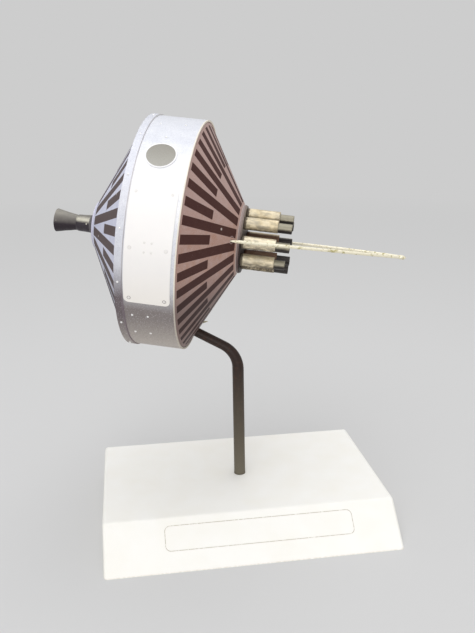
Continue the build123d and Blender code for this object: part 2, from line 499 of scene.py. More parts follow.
class GeometryGraph(NodeGraph):
    """A Geometry Nodes tree that takes a mesh and named sizes, and gives a mesh."""

    def __init__(self, name: str) -> None:
        """Make the tree, with a mesh for its input and its output.

        Args:
            name: The tree's name.
        """
        super().__init__(bpy.data.node_groups.new(name, "GeometryNodeTree"))
        for way in ("INPUT", "OUTPUT"):
            self.tree.interface.new_socket("Geometry", in_out=way, socket_type="NodeSocketGeometry")
        self.entry = self.node("NodeGroupInput")
        self.identifiers: dict[str, str] = {}

    def source(self) -> Wire:
        """The mesh that the tree is given."""
        return Wire(self, self.entry.outputs["Geometry"])

    def size(self, name: str, kind: str = "Float") -> Wire:
        """Add a named input.

        Args:
            name: The input's name.
            kind: What it carries: Float, Int or Material.

        Returns:
            The input, for use in the tree.
        """
        socket = self.tree.interface.new_socket(name, in_out="INPUT", socket_type="NodeSocket" + kind)
        self.identifiers[name] = socket.identifier
        return Wire(self, self.entry.outputs[name])

    def close(self, result: Wire, smooth: bool = True) -> None:
        """End the tree: make instances real, set their shading and their material.

        Args:
            result: The tree's geometry.
            smooth: Whether it is shaded smoothly.
        """
        real = self.wire("GeometryNodeRealizeInstances", {"Geometry": result})
        shaded = self.wire("GeometryNodeSetShadeSmooth", {"Geometry": real, "Shade Smooth": smooth})
        finish = self.size("Material", "Material")
        dressed = self.wire("GeometryNodeSetMaterial", {"Geometry": shaded, "Material": finish})
        self.node("NodeGroupOutput", {"Geometry": dressed})

    def grow(self, name: str, source: bpy.types.Mesh, sizes: dict[str, Any]) -> bpy.types.Object:
        """Run the tree on a mesh and keep what it makes as a plain mesh.

        Args:
            name: The new piece's name.
            source: The mesh that the tree starts from.
            sizes: A value for each of the tree's named inputs.

        Returns:
            The new piece, at the origin.
        """
        piece = add_object(name, source)
        modifier = piece.modifiers.new(self.tree.name, "NODES")
        modifier.node_group = self.tree
        for label, identifier in self.identifiers.items():
            modifier[identifier] = sizes[label]
        now = bpy.context.evaluated_depsgraph_get()
        grown = bpy.data.meshes.new_from_object(piece.evaluated_get(now), depsgraph=now)
        piece.modifiers.remove(modifier)
        piece.data = grown
        grown.name = name
        return piece


# ---- meshes
def new_mesh(
    name: str, corners: Iterable[Sequence[float]], faces: Iterable[Sequence[int]] = (),
) -> bpy.types.Mesh:
    """Make a mesh.

    Args:
        name: Its name.
        corners: The places of its corners.
        faces: The numbers of each face's corners.

    Returns:
        The mesh.
    """
    mesh = bpy.data.meshes.new(name)
    mesh.from_pydata([tuple(corner) for corner in corners], [], [tuple(face) for face in faces])
    mesh.update()
    return mesh


def stepped(outline: Outline, step: float) -> list[tuple[float, float]]:
    """Add points along an outline's straight runs.

    Args:
        outline: The outline's own points.
        step: The longest distance between two points of the result.

    Returns:
        The outline with its own points and the added ones.
    """
    result = [tuple(outline[0])]
    for (x0, y0), (x1, y1) in zip(outline, outline[1:]):
        count = max(1, math.ceil(math.hypot(x1 - x0, y1 - y0) / step))
        result += [(x0 + (x1 - x0) * i / count, y0 + (y1 - y0) * i / count) for i in range(1, count + 1)]
    return result


def lathe(
    name: str, outline: Outline, around: int, swell: Callable[[float, float, float], float] | None = None,
) -> bpy.types.Mesh:
    """Turn an outline round the X axis into a closed skin.

    Args:
        name: The mesh's name.
        outline: Points of (station, radius), from a point on the axis to another, with the
            solid towards the axis where the station grows.
        around: How many faces go round.
        swell: Gives what to add to the radius at a station, radius and angle in radians.

    Returns:
        The mesh, with both poles closed.
    """
    corners: list[tuple[float, float, float]] = []
    rings: list[list[int]] = []
    for station, radius in outline:
        if radius <= 0:
            corners.append((station, 0.0, 0.0))
            rings.append([len(corners) - 1] * around)
            continue
        rings.append(list(range(len(corners), len(corners) + around)))
        for index in range(around):
            turn = 2 * math.pi * index / around
            reach = radius + (swell(station, radius, turn) if swell else 0.0)
            corners.append((station, -reach * math.sin(turn), reach * math.cos(turn)))
    faces = []
    for first, second in zip(rings, rings[1:]):
        for index in range(around):
            after = (index + 1) % around
            loop = (first[index], first[after], second[after], second[index])
            faces.append(tuple(dict.fromkeys(loop)))
    return new_mesh(name, corners, [face for face in faces if len(face) > 2])


def soften(mesh: bpy.types.Mesh, fold: float = 35.0) -> None:
    """Shade a mesh smoothly, except across edges that fold by more than an angle."""
    mesh.shade_smooth()
    mesh.set_sharp_from_angle(angle=math.radians(fold))


def seat(piece: bpy.types.Object, slot: str, replaced: Sequence[str] = ()) -> None:
    """Let a piece ride on the body, log its slot and hide the nodes it stands for.

    Args:
        piece: The finished piece.
        slot: The record's material slot.
        replaced: The frame's nodes that it stands for.
    """
    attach(piece, BODY)
    if replaced:
        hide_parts(*replaced)
    LOG.info("%s: %d faces, finish %s", piece.name, len(piece.data.polygons), slot)


def mount(
    mesh: bpy.types.Mesh, axes: ProbeAxes, finish: "Finish", slot: str, replaced: Sequence[str] = (),
) -> None:
    """Turn a mesh on the probe's axes into a piece of the same name, and seat it.

    Args:
        mesh: The mesh.
        axes: The probe's axes.
        finish: The piece's finish.
        slot: The record's material slot.
        replaced: The frame's nodes that it stands for.
    """
    mesh.transform(axes.place)
    mesh.materials.append(finish.material())
    seat(add_object(mesh.name, mesh), slot, replaced)


def dress(node: str, finish: "Finish") -> None:
    """Give a node of the frame its finish.

    Args:
        node: The node's name.
        finish: The finish for all of its faces.
    """
    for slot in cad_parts[node].material_slots:
        slot.material = finish.material()
    LOG.info("%s: dressed in %s", node, finish.name)


# ---- finishes
@dataclass(frozen=True)
class Finish:
    """A finish of one colour with a fine grain.

    Args:
        name: The material's name.
        colour: Its main colour.
        roughness: How matt it is, from 0 to 1.
        metallic: How much of it is metal, from 0 to 1.
        specular: How strongly it mirrors light that meets it square on.
        coat: How much clear coat lies over it.
        coat_roughness: How matt that coat is.
        relief: How high its grain stands.
        grain: How large its grain is.
        variation: How much its tone and its roughness vary.
    """

    name: str
    colour: Colour
    roughness: float = 0.5
    metallic: float = 0.0
    specular: float = 0.5
    coat: float = 0.0
    coat_roughness: float = 0.15
    relief: float = 0.01 * MM
    grain: float = 0.3 * MM
    variation: float = 0.12

    def cover(self, graph: ShaderGraph) -> Coverage:
        """A fine grain in one colour.

        Args:
            graph: The material's tree.

        Returns:
            What varies over it.
        """
        grain = graph.noise(graph.point(), self.grain, detail=3.0)
        colour = graph.mix(grain * self.variation, self.colour, BLACK)
        return Coverage(colour, self.roughness + (grain - 0.5) * self.variation, self.metallic, grain)

    def material(self) -> bpy.types.Material:
        """Make the finish's material, or find it if it is made.

        Returns:
            The material.
        """
        made = bpy.data.materials.get(self.name)
        if made is None:
            graph = ShaderGraph(self.name)
            constants = {
                "Specular IOR Level": self.specular, "Coat Weight": self.coat,
                "Coat Roughness": self.coat_roughness}
            graph.finish_with(self.cover(graph), self.relief, constants)
            made = graph.material
        return made


@dataclass(frozen=True)
class Label:
    """The outline of a blank name label printed on the plinth's sloped front.

    Args:
        foot: A point at the foot of the slope, below the label's middle.
        up: The direction straight up the slope.
        out: The direction away from the slope.
        centre: How far the label's middle is above the foot, up the slope.
        width, height: The label's size.
        corner: The radius of its corners.
        line: How wide its printed line is.
        opacity: How opaque the line is where it is most and least worn.
    """

    foot: Vector
    up: Vector
    out: Vector
    centre: float = 10.5 * MM
    width: float = 60.9 * MM
    height: float = 7.8 * MM
    corner: float = 1.7 * MM
    line: float = 0.2 * MM
    opacity: Span = Span(0.15, 0.9)

    def mask(self, graph: ShaderGraph) -> Wire:
        """Where the printed line lies.

        Args:
            graph: The material's tree.

        Returns:
            A mask, paler where the line is worn.
        """
        offset = graph.point() - self.foot
        across, _, _ = offset.parts()
        climb = offset.dot(self.up) - self.centre
        past_x = abs(across) - (self.width / 2 - self.corner)
        past_y = abs(climb) - (self.height / 2 - self.corner)
        outside = (past_x.most(0.0) ** 2.0 + past_y.most(0.0) ** 2.0) ** 0.5
        edge = outside + past_x.most(past_y).least(0.0) - self.corner
        worn = graph.noise(graph.point(), 0.7 * MM, detail=3.0).between(0.4, 1.0, blur=0.2)
        on_slope = abs(offset.dot(self.out)).below(0.3 * MM, blur=0.1 * MM)
        strength = self.opacity.low + self.opacity.length * worn
        return abs(edge).below(self.line / 2, blur=0.08 * MM) * on_slope * strength


@dataclass(frozen=True, kw_only=True)
class WhiteCard(Finish):
    """Smooth white card with faint fibres and worn folds.

    Args:
        box: The card box's lowest and highest corners.
        cloud_colour, fibre_colour: The tones of its clouds and its fibres.
        fold_colour: The colour that its folds are worn to.
        line_colour: The colour of a printed label's line.
        label: The label printed on it, if it has one.
    """

    box: tuple[Vector, Vector]
    cloud_colour: Colour = ink(238, 232, 214)
    fibre_colour: Colour = ink(150, 140, 120)
    fold_colour: Colour = ink(214, 205, 188)
    line_colour: Colour = ink(178, 168, 150)
    label: Label | None = None
    variation: float = 0.1

    def cover(self, graph: ShaderGraph) -> Coverage:
        """White card with fibres, rubbed along its upright corners and its bottom edge.

        Args:
            graph: The material's tree.

        Returns:
            What varies over it.
        """
        point = graph.point()
        fibres = graph.noise(point, 0.25 * MM, detail=4.0)
        clouds = graph.noise(point, 9 * MM, detail=2.0, seed=4.0)
        low, high = self.box
        side, _, level = (point - (low + high) / 2).parts()
        rub = graph.noise(point, 1.1 * MM, detail=3.0, seed=2.0)
        at_side = abs(side).above((high.x - low.x) / 2 - 0.25 * MM, blur=0.4 * MM)
        at_foot = level.below((low.z - high.z) / 2 + 0.2 * MM, blur=0.3 * MM)
        at_top = level.above((high.z - low.z) / 2 - 0.3 * MM, blur=0.3 * MM)
        worn = (at_side * at_top).most(at_foot) * rub.above(0.45, blur=0.3)
        colour = graph.layered(
            self.colour, ((clouds - 0.35).clamped() * 0.5, self.cloud_colour),
            (fibres * 0.06, self.fibre_colour), (worn * 0.6, self.fold_colour))
        if self.label is not None:
            colour = graph.mix(self.label.mask(graph), colour, self.line_colour)
        height = fibres * 0.6 + clouds * 6.0
        return Coverage(colour, self.roughness + (fibres - 0.5) * self.variation, 0.0, height)


@dataclass(frozen=True, kw_only=True)
class ProbeFinish(Finish):
    """A finish that follows the probe's own axes.

    Args:
        axes: The probe's axes.
        card: The colour of a cut edge of the card.
        seam_angle: Where round the probe the rolled card's ends meet.
    """

    axes: ProbeAxes
    card: Colour = ink(240, 233, 220)
    seam_angle: float = -150.0

    def ring_seam(self, graph: ShaderGraph, local: Wire, width: float) -> Wire:
        """A thin line along the probe where the rolled card's ends meet.

        Args:
            graph: The tree to add to.
            local: The spot on the probe's axes.
            width: The line's width.

        Returns:
            A mask of the line.
        """
        turn = math.radians(self.seam_angle)
        across = Vector((0, math.cos(turn), math.sin(turn)))
        outward = Vector((0, -math.sin(turn), math.cos(turn)))
        line = abs(local.dot(across)).below(width / 2, blur=width / 3)
        return line * local.dot(outward).above(0.0, blur=1 * MM)


@dataclass(frozen=True, kw_only=True)
class DrumPrint(ProbeFinish):
    """The silvery print on the drum's two bands, with painted shade on its lower side,
    a painted highlight above its middle and painted light at its lowest part.

    Args:
        low: Painted shade: the print's darker tone on the drum's lower side.
        fade: The heights on the probe's axes between which that painted shade comes in.
        painted_sheen: A painted highlight: a near-white tone above the drum's middle.
        painted_sheen_heights: Where that painted highlight lies.
        bottom: Painted light: a lighter tone at the drum's lowest part, as of light thrown up from below.
        bottom_fade: The heights between which that painted light comes in.
        cool: The bluish tone mottled into it.
        grit, dark_speck, light_speck: The tones of its coarse and fine grain.
        shade: The colour of the painted shade beside the rim band's step; the seam line takes it too.
        ends: The stations of the band's two cut edges.
        cut_width: How wide the bare card shows at its fore edge.
        cut_edge_shade: Painted shade: that card's darker tone on the drum's lower side.
        shade_station, shade_width: Where the painted shade line is, and how wide.
    """

    low: Colour = ink(142, 134, 132)
    fade: Span = Span(-17.0 * MM, -8.5 * MM)
    painted_sheen: Colour = ink(252, 252, 253)
    painted_sheen_heights: Span = Span(10 * MM, 27 * MM)
    bottom: Colour = ink(196, 188, 181)
    bottom_fade: Span = Span(-30.5 * MM, -19.5 * MM)
    cool: Colour = ink(176, 180, 200)
    grit: Colour = ink(92, 82, 92)
    dark_speck: Colour = ink(90, 86, 98)
    light_speck: Colour = ink(240, 240, 246)
    shade: Colour = ink(128, 112, 130)
    ends: Span
    cut_width: float = 0.0
    cut_edge_shade: Colour = ink(178, 170, 162)
    shade_station: float
    shade_width: float = 0.25 * MM
    variation: float = 0.1

    def cover(self, graph: ShaderGraph) -> Coverage:
        """Mottled silvery print with painted shade and light, a cut edge,
        a painted shade line beside the rim and the seam behind.

        Args:
            graph: The material's tree.

        Returns:
            What varies over it.
        """
        local = graph.point_on(self.axes.place)
        station, _, up = local.parts()
        cloud = graph.noise(local * Vector((0.6, 1.0, 1.0)), 2.6 * MM, detail=3.0)
        speck = graph.noise(local, 0.28 * MM, detail=2.0, seed=3.0)
        # Painted shade: the print goes darker towards the drum's lower side.
        painted_shade_share = up.falling(self.fade)
        # Painted highlight: a near-white band above the drum's middle.
        bright = up.between(self.painted_sheen_heights.low, self.painted_sheen_heights.high, blur=7 * MM)
        grit = graph.noise(local, 0.5 * MM, detail=4.0, seed=12.0)
        # Painted shade: a dark line beside the rim band's step, stronger on the lower side.
        shade = abs(station - self.shade_station).below(self.shade_width / 2, blur=0.2 * MM)
        seam = self.ring_seam(graph, local, 0.22 * MM)
        rub = graph.noise(local, 0.6 * MM, detail=3.0, seed=7.0)
        bare_from = self.ends.high - self.cut_width * (0.5 + rub)
        bare = station.above(bare_from, blur=0.08 * MM)
        colour = graph.layered(
            self.colour,
            (bright * 0.9, self.painted_sheen),
            (painted_shade_share, self.low),
            # Painted light: lighter at the drum's lowest part.
            (up.falling(self.bottom_fade) * 0.85, self.bottom),
            ((cloud - 0.3).clamped() * (0.5 - 0.4 * painted_shade_share), self.cool),
            (grit.below(0.46, blur=0.2) * (0.03 + 0.15 * painted_shade_share), self.grit),
            (speck.between(0.0, 0.42, blur=0.08) * 0.12, self.dark_speck),
            (speck.above(0.62, blur=0.05) * 0.3, self.light_speck),
            (shade * (0.15 + 0.65 * painted_shade_share), self.shade),
            (seam * 0.7, self.shade),
            # Painted shade: the cut edge goes darker on the drum's lower side.
            (bare, graph.mix(painted_shade_share * 0.7, self.card, self.cut_edge_shade)))
        height = cloud * 2.2 + speck * 0.5 - seam * 2.0
        metallic = self.metallic * (1.0 - bare)
        roughness = self.roughness + (cloud - 0.5) * self.variation + bare * 0.25
        return Coverage(colour, roughness, metallic, height)


@dataclass(frozen=True)
class BarPattern:
    """Straight dark bars of one width, laid out like spokes, long and short in turn.

    Args:
        count: How many bars go round.
        width: Their width.
        outer: How far from the axis they end outside.
        long_inner: How far from it the long ones end inside.
        short_inner: How far from it the short ones end inside.
        blur: How soft their edges are.
    """

    count: int
    width: float
    outer: float
    long_inner: float
    short_inner: float
    blur: float = 0.05 * MM

    def _rank(self, turn: Wire, radius: Wire, first: float, inner: float) -> Wire:
        """Every second bar, as a mask: those that end at one inner distance.

        Args:
            turn, radius: The spot's angle in radians and its distance from the cone's middle.
            first: The angle of one of these bars.
            inner: How far from the middle they end inside.

        Returns:
            The mask.
        """
        pitch = 4 * math.pi / self.count
        aside = (turn - (first - pitch / 2)) % pitch - pitch / 2
        across = abs(radius * aside.sine()).below(self.width / 2, self.blur)
        return across * (radius * aside.cosine()).between(inner, self.outer, self.blur)

    def mask(self, local: Wire) -> Wire:
        """Where the bars lie.

        Args:
            local: The spot, seen from the cone's middle.

        Returns:
            The mask.
        """
        _, back, up = local.parts()
        turn = local.graph.work("ARCTAN2", -back, up)
        radius = (back * back + up * up) ** 0.5
        short_turn = 2 * math.pi / self.count
        long_bars = self._rank(turn, radius, 0.0, self.long_inner)
        return long_bars.most(self._rank(turn, radius, short_turn, self.short_inner))


@dataclass(frozen=True)
class Spot:
    """A small round mark, as of a fleck of paint or a printed ring.

    Args:
        place: Its middle on the probe's axes.
        radius: Its outer radius.
        line: The width of its line if it is a ring, or its radius if it is a dot.
        colour: Its colour.
        strength: How opaque it is.
    """

    place: Vector
    radius: float
    line: float
    colour: Colour
    strength: float

    def over(self, graph: ShaderGraph, local: Wire, ground: Wire) -> Wire:
        """Lay the mark over a colour.

        Args:
            graph: The tree to add to.
            local: The spot's place on the probe's axes.
            ground: The colour below it.

        Returns:
            The colour with the mark on it.
        """
        away = graph.work("DISTANCE", local, self.place)
        mark = away.between(self.radius - self.line, self.radius, blur=0.15 * MM)
        return graph.mix(mark * self.strength, ground, self.colour)


@dataclass(frozen=True, kw_only=True)
class StripedCard(ProbeFinish):
    """The cones' print: dark bars on a pale metallic ground.

    Args:
        bars: The bars' layout.
        bar_colour: Their colour.
        tint: The tone mottled into the ground.
        light_speck: The tone of the ground's specks.
        bar_tint, bar_speck: The tones mottled and specked into the bars.
        base_station, end_station: Where the cone's wide and small ends are.
        end_rise: How far the small end's middle lies above the probe's axis.
        painted_lower_shade: How much darker the print is on the lower side, from 0 to 1, as painted shade.
            painted_lower_shade_colour, painted_lower_shade_fade: That painted shade's tone, and the heights
            between which it comes in.
        seam_colour: The colour of the seam.
        spots: Small marks on the print.
    """

    bars: BarPattern
    bar_colour: Colour
    tint: Colour
    light_speck: Colour = ink(245, 238, 236)
    bar_tint: Colour = ink(92, 60, 50)
    bar_speck: Colour = ink(150, 135, 130)
    base_station: float
    end_station: float
    end_rise: float
    painted_lower_shade: float = 0.52
    painted_lower_shade_colour: Colour = ink(30, 22, 24)
    painted_lower_shade_fade: Span = Span(-17 * MM, -5 * MM)
    seam_colour: Colour = ink(60, 50, 52)
    spots: tuple[Spot, ...]

    def cover(self, graph: ShaderGraph) -> Coverage:
        """Bars over a mottled ground, in painted shade low down,
        worn at the cut edge of the cone's small end.

        Args:
            graph: The material's tree.

        Returns:
            What varies over it.
        """
        local = graph.point_on(self.axes.place)
        station, _, up = local.parts()
        share = (station - self.base_station) / (self.end_station - self.base_station)
        middle = graph.vector(z=share.clamped() * self.end_rise)
        cloud = graph.noise(local, 2.2 * MM, detail=3.0)
        speck = graph.noise(local, 0.25 * MM, detail=2.0, seed=5.0)
        warm = 0.35 + 0.65 * abs(up).below(10 * MM, blur=14 * MM)
        bar = graph.layered(
            self.bar_colour, (cloud * 0.4, self.bar_tint),
            (speck.above(0.66, blur=0.05) * 0.2, self.bar_speck))
        mask = self.bars.mask(local - middle)
        colour = graph.layered(
            self.colour,
            (((cloud - 0.2) * 1.6).clamped() * warm, self.tint),
            (speck.above(0.6, blur=0.06) * 0.16, self.light_speck),
            (mask, bar),
            # Painted shade: darker towards the cone's lower side.
            (up.falling(self.painted_lower_shade_fade) * self.painted_lower_shade, self.painted_lower_shade_colour))
        for spot in self.spots:
            colour = spot.over(graph, local, colour)
        seam = self.ring_seam(graph, local, 0.2 * MM)
        rub = graph.noise(local, 0.5 * MM, detail=2.0, seed=9.0)
        bare = share.above(0.995 - rub * 0.008, blur=0.004)
        colour = graph.layered(colour, (seam * 0.6, self.seam_colour), (bare, self.card))
        metallic = self.metallic * (1.0 - bare)
        roughness = self.roughness + mask * 0.06 + bare * 0.2
        return Coverage(colour, roughness, metallic, cloud * 2.0 + speck * 0.5 - seam * 2.0)


@dataclass(frozen=True, kw_only=True)
class PanelPrint(ProbeFinish):
    """The white print of the access panel, with thin grey rings round its screws.

    Args:
        rings: The rings.
        cool, warm: The tones of its clouds and of its lower part; the warm tone is painted warm light.
        warm_light_fade: The heights between which that painted light comes in.
    """

    rings: tuple[Spot, ...]
    cool: Colour = ink(236, 236, 240)
    warm: Colour = ink(254, 249, 241)
    warm_light_fade: Span = Span(-20 * MM, -4 * MM)
    variation: float = 0.1

    def cover(self, graph: ShaderGraph) -> Coverage:
        """White with faint clouds, painted warm light low down, a fine grain and the rings.

        Args:
            graph: The material's tree.

        Returns:
            What varies over it.
        """
        local = graph.point_on(self.axes.place)
        cloud = graph.noise(local, 4 * MM, detail=3.0)
        grain = graph.noise(local, 0.3 * MM, detail=3.0, seed=2.0)
        _, _, up = local.parts()
        colour = graph.layered(
            self.colour, ((cloud - 0.4).clamped() * 0.4, self.cool),
            # Painted light: a warm tint on the panel's lower part.
            (up.falling(self.warm_light_fade) * 0.7, self.warm))
        for ring in self.rings:
            colour = ring.over(graph, local, colour)
        roughness = self.roughness + (grain - 0.5) * self.variation
        return Coverage(colour, roughness, 0.0, grain + cloud * 3.0)


@dataclass(frozen=True, kw_only=True)
class WindowPrint(ProbeFinish):
    """The olive-grey print of the round window, darker at its upper edge.

    Args:
        light: The tone at its lower edge.
        rise: The heights on the probe's axes between which the tone changes.
        grime: The tone of its grain.
    """

    light: Colour
    rise: Span
    grime: Colour = ink(120, 116, 106)

    def cover(self, graph: ShaderGraph) -> Coverage:
        """A tone that goes from dark above to light below, with a faint grain.

        Args:
            graph: The material's tree.

        Returns:
            What varies over it.
        """
        local = graph.point_on(self.axes.place)
        _, _, up = local.parts()
        share = ((self.rise.high - up) / self.rise.length).clamped()
        grain = graph.noise(local, 0.3 * MM, detail=3.0)
        colour = graph.layered(
            self.colour, (share, self.light), (grain.above(0.55, blur=0.2) * 0.15, self.grime))
        return Coverage(colour, self.roughness, 0.0, grain)


@dataclass(frozen=True)
class Ring:
    """A ring of like round pieces, each about an axis of its own along the probe.

    Args:
        count: How many there are.
        radius: How far their axes are from the ring's middle.
        rise: How far that middle lies above the probe's axis.
        first: The angle of one of them, in radians.
    """

    count: int = 1
    radius: float = 0.0
    rise: float = 0.0
    first: float = 0.0

    def offsets(self, graph: ShaderGraph, local: Wire) -> tuple[Wire, Wire, Wire]:
        """Where a spot lies about the axis of the piece that it is on.

        Args:
            graph: The tree to add to.
            local: The spot on the probe's axes.

        Returns:
            How far it lies above that axis, how much further out it lies than that axis, and
            where the piece stands in the ring, from -1 at its foot to 1 at its top.
        """
        _, back, up = local.parts()
        lifted = up - self.rise
        turn = graph.work("ARCTAN2", -back, lifted) - self.first
        pitch = 2 * math.pi / self.count
        own = (turn / pitch).rounded() * pitch + self.first
        aside, above = back + own.sine() * self.radius, lifted - own.cosine() * self.radius
        outward = above * own.cosine() - aside * own.sine()
        return above, outward, own.cosine()


@dataclass(frozen=True, kw_only=True)
class Foil(ProbeFinish):
    """Crinkled foil, darker in its creases, low on each case and at its foot, with painted shade and light.

    Args:
        darkening_and_shade_tone: The tone of that darkening, and of the painted shade on the ring's lowest
            case.
        warm, dull: The tones of the foil's patches.
        light: A painted highlight: the tone of pale streaks along the crinkles.
        pale: Painted light: the creamy tone of the sides that face away from the ring's middle.
        inner: Painted shade: the brown of the sides that face it.
        foot: How far the dark foot of a case reaches.
        ends: The stations of the foil's two ends.
        ring: How the cases stand.
        case_radius: A case's radius.
    """

    darkening_and_shade_tone: Colour = ink(66, 54, 44)
    warm: Colour = ink(214, 194, 150)
    dull: Colour = ink(168, 162, 146)
    light: Colour = ink(242, 231, 203)
    pale: Colour = ink(246, 235, 210)
    inner: Colour = ink(100, 60, 42)
    foot: float = 0.85 * MM
    ends: Span
    ring: Ring
    case_radius: float
    variation: float = 0.25

    def cover(self, graph: ShaderGraph) -> Coverage:
        """Creased foil with warm, dull and light patches, darkening, and painted shade and light.

        Args:
            graph: The material's tree.

        Returns:
            What varies over it.
        """
        local = graph.point_on(self.axes.place)
        station, _, _ = local.parts()
        crease = graph.noise(local, 0.9 * MM, detail=5.0)
        folds = graph.cells(local + crease * 0.4 * MM, 0.75 * MM)
        drawn = graph.noise(local * Vector((0.5, 1.0, 1.0)), 1.1 * MM, detail=5.0, seed=6.0)
        patch = graph.noise(local * Vector((0.6, 1.0, 1.0)), 2.0 * MM, detail=4.0, seed=6.0)
        above, outward, stand = self.ring.offsets(graph, local)
        # Painted light: lighter on the sides that face away from the ring's middle, most on the cases at the
        # ring's sides.
        painted_lit_side = (outward / self.case_radius).above(0.2, blur=0.6)
        at_side = stand.between(-0.6, 0.2, blur=0.2)
        low = (above / self.case_radius).below(-0.45, blur=1.1)
        # Darker on each case's underside, in patches.
        underside_darkening = low * (crease * 0.35 + drawn * 0.65).below(0.56, blur=0.18)
        # Darker at each case's foot, next to the plate.
        at_foot = station.below(self.ends.low + self.foot + (crease - 0.5) * 0.8 * MM, blur=0.3 * MM)
        near_end = station.above(self.ends.high - 0.12 * MM, blur=0.15 * MM)
        darkened_and_painted_shade = (underside_darkening + near_end * 0.25 + folds.above(0.9, blur=0.2) * 0.2).clamped()
        # Painted shade: the ring's lowest case is darkened, as it stands in shade.
        darkened_and_painted_shade = darkened_and_painted_shade.most(at_foot).most(stand.below(-0.85, blur=0.1) * crease.below(0.6, blur=0.3))
        # Painted shade: brown on the sides that face the ring's middle.
        painted_inner_shade = (outward / self.case_radius).below(-0.45, blur=0.4)
        colour = graph.layered(
            self.colour,
            (patch.above(0.5, blur=0.2) * 0.7, self.warm),
            (painted_lit_side * (0.05 + 0.75 * at_side), self.pale),
            (drawn.below(0.45, blur=0.2) * 0.6, self.dull),
            # Painted highlight: pale streaks along the crinkles.
            (drawn.above(0.55, blur=0.2) * 0.6, self.light),
            (darkened_and_painted_shade * 0.85, self.darkening_and_shade_tone),
            (painted_inner_shade * 0.85, self.inner))
        darkened_and_painted_shade = darkened_and_painted_shade.most(painted_inner_shade)
        metallic = self.metallic * (1.0 - darkened_and_painted_shade * 0.5)
        roughness = self.roughness + (crease - 0.5) * self.variation + darkened_and_painted_shade * 0.25
        return Coverage(colour, roughness, metallic, crease + folds * 0.6)


@dataclass(frozen=True, kw_only=True)
class BrushedPaint(ProbeFinish):
    """Paint put on by brush, with faint streaks along the probe, thin spots and a painted highlight on top.

    Args:
        thin: The colour where the paint is thin.
        thin_share: How much of it is thin, from 0 to 1.
        streak: How much longer than wide its streaks are.
        painted_highlight: A painted highlight: a lighter tone over the upper side.
        painted_highlight_share: How much of that painted highlight covers the upper side, from 0 to 1.
        level: The heights above a piece's axis between which the painted highlight comes in.
        crest: The height above a piece's axis from which the painted highlight thins out again.
        reach: How far out from a piece's axis a spot has to lie to get the painted highlight.
        ring: How the pieces stand.
        flecks: Bright flecks on it.
    """

    thin: Colour
    thin_share: float = 0.3
    streak: float = 6.0
    painted_highlight: Colour = ink(160, 157, 146)
    painted_highlight_share: float = 0.0
    level: Span = Span(-0.3 * MM, 0.5 * MM)
    crest: float = 100 * MM
    reach: float = -100 * MM
    ring: Ring = Ring()
    flecks: tuple[Spot, ...] = ()
    variation: float = 0.25

    def cover(self, graph: ShaderGraph) -> Coverage:
        """Streaky paint over another tone, lighter on top with a painted highlight.

        Args:
            graph: The material's tree.

        Returns:
            What varies over it.
        """
        local = graph.point_on(self.axes.place)
        drawn = local * Vector((1 / self.streak, 1.0, 1.0))
        brush = graph.noise(drawn, 0.22 * MM, detail=4.0)
        patch = graph.noise(local, 1.3 * MM, detail=4.0, seed=8.0)
        bare = (patch * 0.7 + brush * 0.3).below(0.28 + 0.3 * self.thin_share, blur=0.08)
        colour = graph.mix(bare, self.colour, self.thin)
        if self.painted_highlight_share > 0:
            above, outward, stand = self.ring.offsets(graph, local)
            # Painted highlight: lighter on each piece's upper side; the inner and lowest pieces, which stand
            # in shade, get none.
            top = (above + (patch - 0.5) * 0.6 * MM).rising(self.level)
            highlight_reach = outward.above(self.reach, blur=0.4 * MM) * stand.above(-0.85, blur=0.1)
            highlight_reach = highlight_reach * (1.0 - above.above(self.crest, blur=0.9 * MM) * 0.7)
            colour = graph.mix(top * highlight_reach * self.painted_highlight_share, colour, self.painted_highlight)
        for fleck in self.flecks:
            colour = fleck.over(graph, local, colour)
        roughness = self.roughness + (brush - 0.5) * self.variation + bare * 0.1
        return Coverage(colour, roughness, self.metallic, brush + patch * 2.0 - bare * 0.5)


@dataclass(frozen=True, kw_only=True)
class RodPaint(BrushedPaint):
    """The rod's paint, lighter towards its foot as painted light.

    Args:
        foot: Its painted light tone at the foot.
        fade: The heights between which the tone changes.
    """

    foot: Colour
    fade: Span

    def cover(self, graph: ShaderGraph) -> Coverage:
        """The brushed paint, going lighter towards the foot as painted light.

        Args:
            graph: The material's tree.

        Returns:
            What varies over it.
        """
        painted = super().cover(graph)
        _, _, height = graph.point().parts()
        # Painted light: the rod's upright part goes lighter towards its foot, as in strong light.
        painted_foot_light = height.falling(self.fade)
        grain = graph.noise(graph.point(), 0.4 * MM, detail=3.0, seed=4.0)
        colour = graph.mix(painted_foot_light * (0.8 + 0.4 * grain), painted.colour, self.foot)
        return Coverage(colour, painted.roughness + painted_foot_light * 0.1, painted.metallic, painted.height)


# ---- heads of rivets and screws
class Head(Enum):
    """What stands on a row of spots."""

    RIVET = "rivet_heads"
    SCREW = "slotted_screws"


